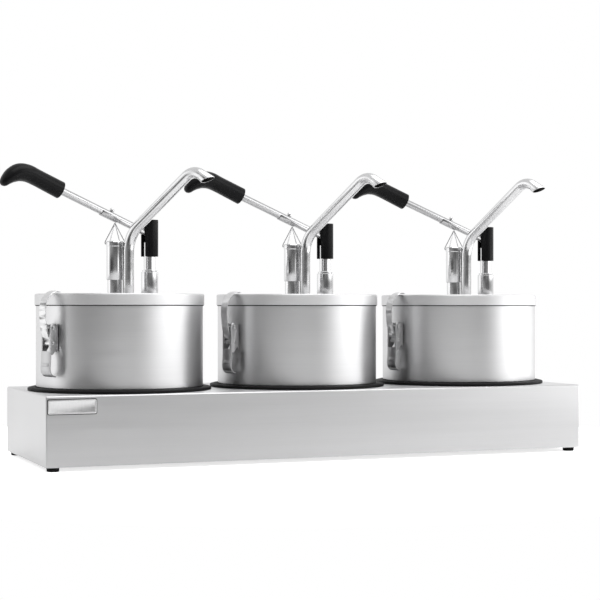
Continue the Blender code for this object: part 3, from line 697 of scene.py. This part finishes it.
def polished_steel(name, colour, roughness, ripple, lengthwise):
    """Polished tube; lengthwise is the axis that its fine polishing lines run along."""
    finish = Finish(name, colour, roughness, 1.0)
    place = finish.place()
    scales = [14 if axis == lengthwise else 620 for axis in range(3)]
    lines = finish.lines(finish.split(place), scales, 3)
    smear = finish.noise(place, 90, 3)
    finish.shaded(finish.math("MULTIPLY", finish.between(lines, 0.95, 1.0, 0.35, 0.6),
                              finish.between(smear, 0.96, 1.0)))
    finish.rough(finish.math("ADD", finish.between(smear, roughness * 0.7, roughness * 1.4),
                             finish.between(lines, 0, roughness * 0.5)))
    finish.bump(finish.math("ADD", lines, finish.math("MULTIPLY", smear, 0.25)), ripple, 0.0002)
    return finish.material


def pressed_steel(name, colour):
    """Pressed sheet of the latches, with rolling grain along its length."""
    finish = Finish(name, colour, 0.33, 1.0)
    place = finish.place()
    rolled = finish.lines(finish.split(place), (900, 1400, 70), 3)
    rub = finish.noise(place, 260, 3)
    finish.shaded(finish.math("MULTIPLY", finish.between(rolled, 0.94, 1.02),
                              finish.between(rub, 0.95, 1.01)))
    finish.rough(finish.math("ADD", finish.between(rolled, 0.27, 0.36), finish.between(rub, 0, 0.08)))
    finish.bump(rolled, 0.08, 0.00004)
    return finish.material


def black_rubber():
    """Matte rubber with a fine moulded grain and a little dust."""
    finish = Finish("moulded_rubber", (0.006, 0.006, 0.0065), 0.6)
    place = finish.place()
    dust = finish.noise(place, 60, 5, 0.65)
    finish.shaded(finish.between(dust, 0.85, 1.5, 0.35, 0.75))
    finish.rough(finish.between(dust, 0.5, 0.68))
    finish.set("Specular IOR Level", 0.12)
    finish.bump(finish.noise(place, 2600, 3), 0.35, 0.00012)
    return finish.material


def black_plastic():
    """Moulded black plastic, smooth but for a light orange peel and rubbed patches."""
    finish = Finish("moulded_plastic", (0.006, 0.006, 0.0065), 0.3)
    place = finish.place()
    rubbed = finish.noise(place, 45, 4, 0.6)
    finish.shaded(finish.between(rubbed, 0.85, 1.35))
    finish.rough(finish.between(rubbed, 0.26, 0.4))
    finish.set("Specular IOR Level", 0.1)
    finish.bump(finish.noise(place, 900, 2), 0.12, 0.00006)
    return finish.material


def spring_wire():
    """Drawn wire with fine die marks."""
    finish = Finish("drawn_wire", (0.55, 0.55, 0.56), 0.28, 1.0)
    marks = finish.noise(finish.place(), 1500, 4)
    finish.shaded(finish.between(marks, 0.9, 1.03))
    finish.rough(finish.between(marks, 0.22, 0.36))
    finish.bump(marks, 0.2, 0.00004)
    return finish.material


def painted_shade_bore():
    """The unpolished inside of the spout, painted near-black as painted shade deep in the tube, with a
    mottled stain from what runs through it.
    """
    finish = Finish("painted_shade_bore", (0.035, 0.034, 0.033), 0.65, 0.6)
    stain = finish.noise(finish.place(), 240, 3)
    finish.shaded(finish.between(stain, 0.7, 1.3))
    finish.rough(finish.between(stain, 0.55, 0.75))
    return finish.material


def floor_finish():
    """Pale matte studio floor, which glows for the camera so that shadows on it stay faint."""
    finish = Finish("studio_floor", (0.93, 0.93, 0.93), 0.7)
    finish.shaded(finish.between(finish.noise(finish.place(), 3, 3), 0.99, 1.0))
    finish.set("Specular IOR Level", 0.1)
    finish.set("Emission Color", (1, 1, 1, 1))
    finish.link(finish.math("MULTIPLY", finish.camera_ray(), FLOOR_GLOW),
                finish.shader.inputs["Emission Strength"])
    return finish.material


SATIN = sheet_steel()
POT_STEEL = turned_steel("satin_pot", steel(0.66), (0.38, 0.46), 1600)
LID_STEEL = turned_steel("satin_lid", steel(0.73), (0.52, 0.62), 1400)
TUBE_STEEL = polished_steel("polished_tube", steel(0.7), 0.12, 0.06, 2)
LEVER_STEEL = polished_steel("polished_lever", steel(0.5), 0.2, 0.02, 0)
SPOUT_STEEL = polished_steel("polished_spout", steel(0.7), 0.15, 0.03, 2)
# the spout's bore is painted near-black for the shade inside the tube (painted shade)
BORE_SHADE = painted_shade_bore()
PRESSED = pressed_steel("pressed_sheet", steel(0.5))
STRAP_STEEL = pressed_steel("pressed_strap", steel(0.74))
RUBBER = black_rubber()
PLASTIC = black_plastic()
WIRE = spring_wire()


# --- base -----------------------------------------------------------------------------------------

def base_shell(stations):
    """The folded box with round top bends and corners, open underneath, with its three wells."""
    low, high = (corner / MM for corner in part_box("base_housing"))

    def bend(edit):
        underside = [f for f in edit.faces if f.normal.z < -0.5]
        bmesh.ops.delete(edit, geom=underside, context="FACES")
        folds = [e for e in edit.edges if max(v.co.z for v in e.verts) > high.z - 1]
        bmesh.ops.bevel(edit, geom=folds, offset=BEND, segments=BEND_STEPS, profile=0.5, affect="EDGES")

    mesh = edited(box(low, high), bend)
    mesh = modified(mesh, "SOLIDIFY", thickness=SHEET, offset=-1, use_even_offset=True)
    for place in stations:
        well = rod((0, 0, high.z - REACH), (0, 0, high.z + REACH), WELL_RADIUS, LARGE_ROUND)
        centre = place.axis.translation / MM
        mesh = cut(mesh, shifted(well, centre.x, centre.y))
    return mesh


def rubber_foot():
    """A bumper with a rounded edge, a dimple below and its barbed stem."""
    return turned(FOOT_OUTLINE, ROUND)


def rubber_ring():
    """Rubber ring: a bead-edged flange on the base and a neck down into the well."""
    return turned(RING_OUTLINE, LARGE_ROUND, closed=True, steps=4)


def badge_panel(border, corner):
    """The badge's outline, grown by a border."""
    left, right, top = -border, BADGE_WIDTH + border, BADGE_HEIGHT + border
    return rounded([(left, left, corner), (right, left, corner), (right, top, corner), (left, top, corner)])


def badge_shade_pad():
    """A thin dark pad round the badge, which paints the shadow line at the badge's edge (painted shade)."""
    return extruded(badge_panel(BADGE_BORDER, 2), -BADGE_STEP, 0)


def badge_plate():
    """A small blank plate with a raised rim, lying in the XZ plane and facing -Y."""
    plate = extruded(badge_panel(0, 1.4), -BADGE_DEPTH, 0)
    field = extruded(badge_panel(-BADGE_RIM, 0.8), -BADGE_DEPTH - 1, -BADGE_DEPTH + BADGE_STEP)
    return eased(cut(plate, field), 0.16)


# --- pot and lid ----------------------------------------------------------------------------------

def pot_wall():
    """A deep-drawn pot: round bottom edge, shoulder on the ring, upright wall and plain rim."""
    return turned(POT_OUTLINE, LARGE_ROUND, steps=6)


def lid_plate():
    """Flat lid with a rolled top edge and a skirt that ends in a small hem."""
    mesh = turned(LID_OUTLINE, LARGE_ROUND, steps=6)
    for place, radius in ((PISTON_XY, NECK_RADIUS), (SPOUT_XY, SPOUT_RADIUS), (POST_XY, STUD_RADIUS)):
        mesh = cut(mesh, rod((*place, LID_TOP - REACH / 2), (*place, LID_TOP + REACH / 2),
                             radius + HOLE_GAP, MIDDLE_ROUND))
    return mesh


def lid_shade_ring():
    """A black ring just under the skirt, which paints the shadow line under the lid (painted shade)."""
    return turned(SHADE_RING_OUTLINE, LARGE_ROUND, closed=True, steps=3)


# --- pump -----------------------------------------------------------------------------------------

def pump_body():
    """Neck, barrel and suction tube on the piston's axis, with the outlet block at its side."""
    under = LID_TOP - LID_SHEET - 0.3
    outline = [(NECK_RADIUS, NECK_TOP, 0.3), (NECK_RADIUS, under, 0), (FLANGE_RADIUS, under, 0.6),
               (FLANGE_RADIUS, under - FLANGE, 0.6), (BARREL_RADIUS, under - FLANGE, 0),
               (BARREL_RADIUS, BARREL_BOTTOM, 1), (SUCTION_RADIUS, BARREL_BOTTOM - 4, 0.8),
               (SUCTION_RADIUS, SUCTION_END, 0.3), (SUCTION_BORE, SUCTION_END, 0.3),
               (SUCTION_BORE, BARREL_BOTTOM - 3, 0), (BARREL_BORE, BARREL_BOTTOM + 1, 0),
               (BARREL_BORE, WEB_TOP - WEB, 0), (WEB_HOLE, WEB_TOP - WEB, 0), (WEB_HOLE, WEB_TOP, 0),
               (NECK_BORE, WEB_TOP, 0), (NECK_BORE, NECK_TOP, 0.3)]
    mesh = shifted(turned(outline, ROUND, closed=True, steps=3), *PISTON_XY)
    aside = SPOUT_XY - PISTON_XY
    to_piston = Matrix.Translation((*PISTON_XY, 0)) @ Matrix.Rotation(math.atan2(aside.y, aside.x), 4, "Z")
    reach = aside.length
    block = box((BLOCK_START, -BLOCK_HALF_WIDTH, SOCKET_FLOOR - BLOCK_BELOW),
                (reach + BLOCK_HALF_WIDTH, BLOCK_HALF_WIDTH, SOCKET_FLOOR + BLOCK_ABOVE))
    low, high = (0, 0, 120), (0, 0, 160)
    block = cut(block, rod(low, high, SUCTION_RADIUS - BLOCK_BITE),
                rod((0, 0, BARREL_BOTTOM), high, BARREL_RADIUS - BLOCK_BITE))
    mesh = joined(mesh, moved(eased(block, 0.5), to_piston))
    socket = rod((*SPOUT_XY, SOCKET_FLOOR), (*SPOUT_XY, LID_TOP), SPOUT_RADIUS + HOLE_GAP)
    riser = rod((*SPOUT_XY, SOCKET_FLOOR - 5), (*SPOUT_XY, SOCKET_FLOOR + 1), RISER_RADIUS)
    depth = SOCKET_FLOOR - PASSAGE_DEPTH
    passage = moved(rod((PASSAGE_START, 0, depth), (reach, 0, depth), PASSAGE_RADIUS), to_piston)
    return cut(mesh, socket, riser, passage)


def piston_cap():
    """The cap over the neck, with a collar at its top that the wires hook into."""
    radius, top, collar = CAP_RADIUS, CAP_TOP, CAP_RADIUS + CAP_LIP
    outline = [(0, top - 0.9, 0), (radius - 3, top - 0.9, 0.6), (radius - 2.2, top, 0.5),
               (radius - 0.6, top, 0.5), (collar, top - 1.2, 0.6), (collar, top - 5.6, 0.5),
               (radius, top - 6.6, 0.4), (radius, CAP_BOTTOM + 1, 0),
               (radius - CAP_LIP, CAP_BOTTOM, 0.15), (CAP_BORE, CAP_BOTTOM, 0), (CAP_BORE, top - 2.2, 0),
               (0, top - 2.2, 0)]
    mesh = turned(outline, MIDDLE_ROUND, steps=3)
    for out in link_directions():
        for side in (out, -out):
            place = side * collar + UP * (top - NOTCH_DEPTH)
            mesh = cut(mesh, rod(place - side * 0.5, place + side * 2, NOTCH_RADIUS, 20))
    return mesh


def link_directions():
    """The way each wire runs, from the piston's axis to one of its feet."""
    headings = [LEVER_HEADING + side for side in (-LINK_SPREAD, LINK_SPREAD)]
    return [Vector((math.cos(heading), math.sin(heading), 0)) for heading in headings]


def link_wires():
    """Two springy wires that cross under the lever, each foot hooked into the cap's collar."""
    wires = []
    for index, out in enumerate(link_directions()):
        crest = LINK_TOP - LINK_STEP * index
        half = [out * far + UP * (CAP_TOP + rise) for far, rise in LINK_LEG]
        half += [out * far + UP * (crest + rise) for far, rise in LINK_CROWN]
        other = [Vector((-p.x, -p.y, p.z)) for p in reversed(half)]
        wires.append(wire(smooth_path(half + [UP * crest] + other, 5), LINK_WIRE))
    return grouped(*wires)


def spring():
    """The coil between the neck's web and the cap's roof."""
    low = WEB_TOP + COIL_GAP
    high = CAP_TOP - CAP_ROOF - COIL_GAP
    points = []
    for i in range(COIL_TURNS * COIL_STEPS + 1):
        angle = 2 * math.pi * i / COIL_STEPS
        share = i / (COIL_TURNS * COIL_STEPS)
        points.append((COIL_RADIUS * math.cos(angle), COIL_RADIUS * math.sin(angle),
                       low + (high - low) * share))
    return wire(points, COIL_WIRE, 2)


# --- lever: X along the lever from its hinge, Y along the hinge --------------------------------------

def lever_rod():
    mesh = rod((LEVER_BACK, 0, 0), (LEVER_END, 0, 0), LEVER_RADIUS, ROUND)
    mesh = cut(mesh, rod((0, -REACH, 0), (0, REACH, 0), PIN_HOLE),
               rod((SCREW_PLACE, 0, -REACH), (SCREW_PLACE, 0, REACH), SCREW_HOLE))
    return eased(mesh, 0.35)


def saddle_shell():
    """The half shell under the lever, with lips that grip its sides."""
    start, end = 40, 80
    shell = rod((SADDLE_START, 0, 0), (SADDLE_END, 0, 0), SADDLE_RADIUS, ROUND)
    shell = cut(shell, rod((start, 0, 0), (end, 0, 0), LEVER_RADIUS + SLEEVE_GAP, ROUND),
                box((start, -REACH, SADDLE_LIP), (end, REACH, REACH)))
    return eased(shell, 0.2)


def saddle_screw():
    """Dome head above, shank through the lever, and a slot for the driver."""
    return shifted(cut(turned(SCREW_OUTLINE, 40, steps=4), box(*DRIVER_SLOT)), SCREW_PLACE)


def palm_grip():
    """The palm grip: a sleeve round the lever, a swell for the palm and a beak down at its end."""
    rings = [Vector(ring) for ring in GRIP_MOUTH] + smooth_path(GRIP_BODY, 8)
    rings += [Vector(ring) for ring in GRIP_TIP]
    mesh = swept([Vector((r[0], r[1])) for r in rings], [(r[2], r[3]) for r in rings], MIDDLE_ROUND)
    return cut(mesh, rod((GRIP_BORE_START, 0, 0), (GRIP_BORE_END, 0, 0), LEVER_RADIUS + SLEEVE_GAP, ROUND))


# --- post, clevis, pin and spout --------------------------------------------------------------------

def post_tube():
    """Foot tube with a bevelled top, collar and rod, and the stud and nut below the lid."""
    nut = cut(rod((0, 0, NUT_LOW), (0, 0, NUT_HIGH), NUT_RADIUS, 6),
              rod((0, 0, LID_TOP - REACH), (0, 0, LID_TOP), NUT_HOLE))
    return shifted(grouped(turned(POST_OUTLINE, MIDDLE_ROUND, steps=4), eased(nut, 0.3)), *POST_XY)


def clevis_fork():
    """A slotted sleeve: the rod stands in its bore and the lever swings in its slot."""
    mesh = rod((0, 0, CLEVIS_LOW), (0, 0, CLEVIS_HIGH), CLEVIS_RADIUS, MIDDLE_ROUND)
    mesh = shifted(mesh, 0, 0, -HINGE_Z)
    mesh = cut(mesh, rod((0, 0, -6 * REACH), (0, 0, CLEVIS_BORE_TOP), CLEVIS_BORE, ROUND),
               box((CLEVIS_SLOT_BACK, -CLEVIS_SLOT, -6 * REACH), (2 * REACH, CLEVIS_SLOT, 4 * REACH)),
               rod((0, -2 * REACH, 0), (0, PIN_STOP, 0), PIN_HOLE))
    return eased(mesh, 0.6, 3)


def pivot_pin():
    """The pin, pressed in from the back; its hole is blind at the front."""
    return eased(rod((0, PIN_START, 0), (0, PIN_STOP - PIN_GAP, 0), PIN_RADIUS), 0.4, 3)


def on_segment(place, start, end):
    """The point of a straight stretch that lies nearest to a place."""
    along = end - start
    share = (place - start).dot(along) / along.length_squared
    return start + along * min(max(share, 0), 1)


def spout_tube():
    """The bent outlet tube, flared a little and cut aslant at its mouth."""
    path = rounded([(0, SPOUT_FOOT, 0), (*SPOUT_KNEE, KNEE_BEND), (*SPOUT_ELBOW, ELBOW_BEND),
                    (*SPOUT_TIP, 0)], closed=False, steps=20)
    radii = [SPOUT_RADIUS] * (len(path) - 1) + [SPOUT_RADIUS * SPOUT_FLARE]
    outer = swept(path, [(r, r) for r in radii], MIDDLE_ROUND)
    down = Vector((math.sin(MOUTH_TILT), 0, -math.cos(MOUTH_TILT)))

    def trim(edit):
        caps = [f for f in edit.faces if len(f.verts) > 4]
        bmesh.ops.delete(edit, geom=caps, context="FACES_ONLY")
        end = [f for f in edit.faces if f.calc_center_median().x > SPOUT_ELBOW.x]
        near = set(end) | {e for f in end for e in f.edges} | {v for f in end for v in f.verts}
        bmesh.ops.bisect_plane(edit, geom=list(near), dist=0.001, plane_co=MOUTH, plane_no=down,
                               clear_outer=True)

    mesh = modified(edited(outer, trim), "SOLIDIFY", thickness=SPOUT_WALL, offset=-1)
    mesh = eased(mesh, 0.28, 2, 50)
    line = [Vector((p[0], 0, p[1])) for p in path]
    for face in mesh.polygons:
        # the bore, whose faces look at the tube's axis, takes the second material, which paints shade
        # inside the tube
        near = min((on_segment(face.center, a, b) for a, b in zip(line, line[1:])),
                   key=lambda place: (place - face.center).length)
        face.material_index = int(face.normal.dot(face.center - near) < FACES_AXIS)
    return moved(mesh, Matrix.Translation((*SPOUT_XY, 0)) @ Matrix.Rotation(SPOUT_HEADING, 4, "Z"))


# --- latch ----------------------------------------------------------------------------------------

def dome(radius):
    """A rivet head on the XZ plane, bulging to +Y."""
    height = RIVET_HEIGHT
    head = turned([(0, height, 0), (radius * 0.62, height * 0.86, radius * 0.4),
                   (radius, height * 0.25, 0.2), (radius, 0, 0), (0, 0, 0)], 28, steps=3)
    return moved(head, Matrix.Rotation(math.radians(-90), 4, "X"))


def rivet(x, z, half, radius):
    """A pin along Y with a domed head at each end."""
    near = moved(shifted(dome(radius), y=half), Matrix.Translation((x, 0, z)))
    far = moved(dome(radius), Matrix.Translation((x, -half, z)) @ Matrix.Rotation(math.pi, 4, "Z"))
    return grouped(near, far, rod((x, -half, z), (x, half, z), RIVET_RADIUS, 24))


def cheeks(outline, half):
    """The two side walls of a channel of sheet."""
    return extruded(outline, half - PLATE, half), extruded(outline, -half, PLATE - half)


def latch_mount():
    """A channel on the pot's wall with the rivet that the latch turns on."""
    wall = POT_WALL - LATCH_RADIUS
    half = MOUNT_HALF_WIDTH
    back = box((wall, -half, MOUNT_LOW), (wall + PLATE, half, MOUNT_HIGH))
    mesh = joined(back, *cheeks(rounded(MOUNT_CHEEK, steps=6), half))
    return grouped(eased(mesh, 0.22), rivet(0, 0, LATCH_HALF_WIDTH + RIVET_GAP, MOUNT_HEAD))


def latch_plate():
    """A channel-shaped lever about the bracket's rivet, with a window, a tongue and a finger tab."""
    half = LATCH_HALF_WIDTH
    plate = extruded(strip_outline(smooth_path(PLATE_LINE, 4), PLATE), -half, half)
    mesh = joined(plate, *cheeks(rounded(PLATE_CHEEK), half))
    mesh = cut(mesh, rod((0, -LATCH_CUT, 0), (0, LATCH_CUT, 0), RIVET_RADIUS + RIVET_GAP), box(*WINDOW))
    tongue = eased(extruded(TONGUE, -TONGUE_HALF_WIDTH, TONGUE_HALF_WIDTH), 0.2)
    return grouped(eased(mesh, 0.22), tongue, rivet(*HOOK_PIN, half + HOOK_PIN_STANDS, HOOK_HEAD))


def latch_strap():
    """A spring strap from its eye on the lever, out through the window and over the lid's rim."""
    half = STRAP_HALF_WIDTH
    cutter = half + REACH / 2
    strap = extruded(strip_outline(smooth_path(STRAP_LINE, 4), PLATE), -half, half)
    mesh = joined(strap, rod((0, -half, 0), (0, half, 0), EYE_RADIUS))
    mesh = cut(mesh, rod((0, -cutter, 0), (0, cutter, 0), RIVET_RADIUS + RIVET_GAP))
    return eased(mesh, 0.25)


# --- assembly -------------------------------------------------------------------------------------

def refinish(node, finish):
    """Give a CAD node that is shown as it is a new material."""
    materials = frame["nodes"][node].data.materials
    materials.clear()
    materials.append(finish)


stations = [station(number) for number in STATIONS]

put("base_shell", base_shell(stations), Matrix.Identity(4), "base", SATIN, ["base_housing"])
refinish("base_floor", SATIN)
bumper = rubber_foot()
for corner in ("front_left", "front_right", "back_left", "back_right"):
    centre = middle(f"foot_{corner}")
    put(f"rubber_foot_{corner}", bumper, Matrix.Translation((centre.x, centre.y, 0)), "base", RUBBER,
        [f"foot_{corner}"])
base_low, base_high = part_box("base_housing")
badge_place = Matrix.Translation(Vector((base_low.x, base_low.y, base_high.z)) + BADGE_INSET * MM)
put("badge_plate", badge_plate(), badge_place, "base", STRAP_STEEL, ())
# a dark pad that paints the shadow line round the badge (painted shade)
put("badge_shade_pad", badge_shade_pad(), badge_place, "base", PLASTIC, ())

# Pieces of each station: name, mesh, finish, CAD node and slot
seat, shade_ring = rubber_ring(), lid_shade_ring()
ON_POT = (("pot_wall", pot_wall(), POT_STEEL, "pot", "satin_steel"),
          ("lid_plate", lid_plate(), LID_STEEL, "lid", "satin_steel"),
          ("pump_body", pump_body(), TUBE_STEEL, "pump_cylinder", "polished_steel"),
          ("post_tube", post_tube(), TUBE_STEEL, "post", "polished_steel"),
          ("spout_tube", spout_tube(), (SPOUT_STEEL, BORE_SHADE), "spout", "polished_steel"))
AT_HINGE = (("clevis_fork", clevis_fork(), PLASTIC, "clevis", "black_plastic"),
            ("pivot_pin", pivot_pin(), TUBE_STEEL, "hinge_pin", "polished_steel"))
ON_PISTON = (("piston_cover", piston_cap(), TUBE_STEEL, "piston_cap", "polished_steel"),
             ("link_wires", link_wires(), WIRE, "wire_link", "polished_steel"))
coil = spring()
ON_LEVER = (("lever_rod", lever_rod(), LEVER_STEEL, "lever", "polished_steel"),
            ("saddle_shell", saddle_shell(), LEVER_STEEL, "lever_saddle", "polished_steel"),
            ("saddle_screw", saddle_screw(), TUBE_STEEL, "lever_saddle", "polished_steel"),
            ("palm_grip", palm_grip(), PLASTIC, "lever_grip", "black_plastic"))
mount, clamp, strap = latch_mount(), latch_plate(), latch_strap()

for place in stations:
    n = place.number
    put(f"rubber_ring_{n}", seat, place.axis, "base", RUBBER, [f"ring_{n}"])
    for name, mesh, finish, node, slot in ON_POT:
        put(f"{name}_{n}", mesh, place.axis, f"pot_{n}", finish, [f"{node}_{n}"])
    # a black ring that paints the shadow line under the lid's skirt (painted shade)
    put(f"lid_seal_{n}", shade_ring, place.axis, f"pot_{n}", RUBBER, ())
    upright = place.lever @ Matrix.Rotation(LEVER_RISE, 4, "Y")
    for name, mesh, finish, node, slot in AT_HINGE:
        put(f"{name}_{n}", mesh, upright, f"pot_{n}", finish, [f"{node}_{n}"])
    for name, mesh, finish, node, slot in ON_PISTON:
        put(f"{name}_{n}", mesh, place.piston, f"plunger_{n}", finish, [f"{node}_{n}"])
    refinish(f"piston_rod_{n}", TUBE_STEEL)
    coiled = put(f"spring_coil_{n}", coil, place.piston, f"pot_{n}", WIRE, [f"return_spring_{n}"])
    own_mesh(coiled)
    for name, mesh, finish, node, slot in ON_LEVER:
        put(f"{name}_{n}", mesh, place.lever, f"lever_{n}", finish, [f"{node}_{n}"])
    put(f"latch_mount_{n}", mount, place.latch, f"pot_{n}", PRESSED, [f"latch_bracket_{n}"])
    put(f"latch_plate_{n}", clamp, place.latch, f"latch_lever_{n}", PRESSED, [f"latch_lever_{n}"])
    put(f"latch_strap_{n}", strap, place.hook, f"latch_hook_{n}", STRAP_STEEL, [f"latch_hook_{n}"])


# --- studio ---------------------------------------------------------------------------------------

def floor():
    edit = bmesh.new()
    bmesh.ops.create_circle(edit, cap_ends=True, segments=96, radius=FLOOR_RADIUS)
    made = bpy.data.objects.new("floor", written(edit, "floor"))
    made.data.materials.append(floor_finish())
    bpy.context.scene.collection.objects.link(made)


class Surroundings(Nodes):
    """The studio round the object: light by bearing and by height."""

    def __init__(self):
        world = bpy.data.worlds.new("studio")
        world.use_nodes = True
        bpy.context.scene.world = world
        super().__init__(world.node_tree)
        self.background = self.tree.nodes["Background"]
        x, y, self.height = self.split(self.node("ShaderNodeTexCoord").outputs["Generated"])
        angle = self.math("ARCTAN2", x, self.math("MULTIPLY", y, -1))
        self.bearing = self.between(angle, 0, 1, -math.pi, math.pi)

    def round_horizon(self, stops):
        """Light by bearing, as (degrees, light) stops."""
        ramp = self.node("ShaderNodeValToRGB")
        self.link(self.bearing, ramp.inputs["Fac"])
        band = ramp.color_ramp
        band.elements.remove(band.elements[1])
        for index, (degrees, light) in enumerate(stops):
            place = (degrees + 180) / 360
            stop = band.elements.new(place) if index else band.elements[0]
            stop.position = place
            stop.color = (light, light, light, 1)
        return ramp.outputs["Color"]

    def mixed(self, share, first, second):
        made = self.node("ShaderNodeMix", data_type="RGBA")
        self.link(share, made.inputs["Factor"])
        for socket, value in ((made.inputs[6], first), (made.inputs[7], second)):
            if isinstance(value, (int, float)):
                socket.default_value = (value, value, value, 1)
            else:
                self.link(value, socket)
        return made.outputs[2]


def surroundings():
    """A dark gap behind the camera at eye level, a dim left, a big soft key on the right."""
    studio = Surroundings()
    tall = studio.math("ABSOLUTE", studio.height)
    light = studio.mixed(studio.between(tall, 0, 1, *TO_ABOVE),
                         studio.round_horizon(LEVEL_LIGHT), studio.round_horizon(ABOVE_LIGHT))
    light = studio.mixed(studio.between(tall, 0, 1, *TO_CEILING), light, CEILING)
    studio.link(studio.mixed(studio.camera_ray(), light, BACKDROP), studio.background.inputs["Color"])


def soft_light(name, place, target, size, power):
    light = bpy.data.lights.new(name, "AREA")
    light.shape = "RECTANGLE"
    light.size, light.size_y = size
    light.energy = power
    made = bpy.data.objects.new(name, light)
    made.location = place
    made.rotation_euler = (Vector(target) - Vector(place)).to_track_quat("-Z", "Y").to_euler()
    bpy.context.scene.collection.objects.link(made)


def camera():
    """The photograph's view: level, from the left of the front."""
    data = bpy.data.cameras.new("camera")
    data.lens = LENS
    data.shift_y = LENS_SHIFT
    data.clip_end = CLIP_END
    made = bpy.data.objects.new("camera", data)
    made.location = CAMERA_PLACE
    made.rotation_euler = (math.radians(90), 0, CAMERA_TURN)
    bpy.context.scene.collection.objects.link(made)
    bpy.context.scene.camera = made


floor()
surroundings()
soft_light("top_softbox", (0.2, -0.5, 2.2), (0, 0, 0.1), (2.4, 1.6), 30)
camera()
bpy.context.scene.view_settings.view_transform = "Standard"
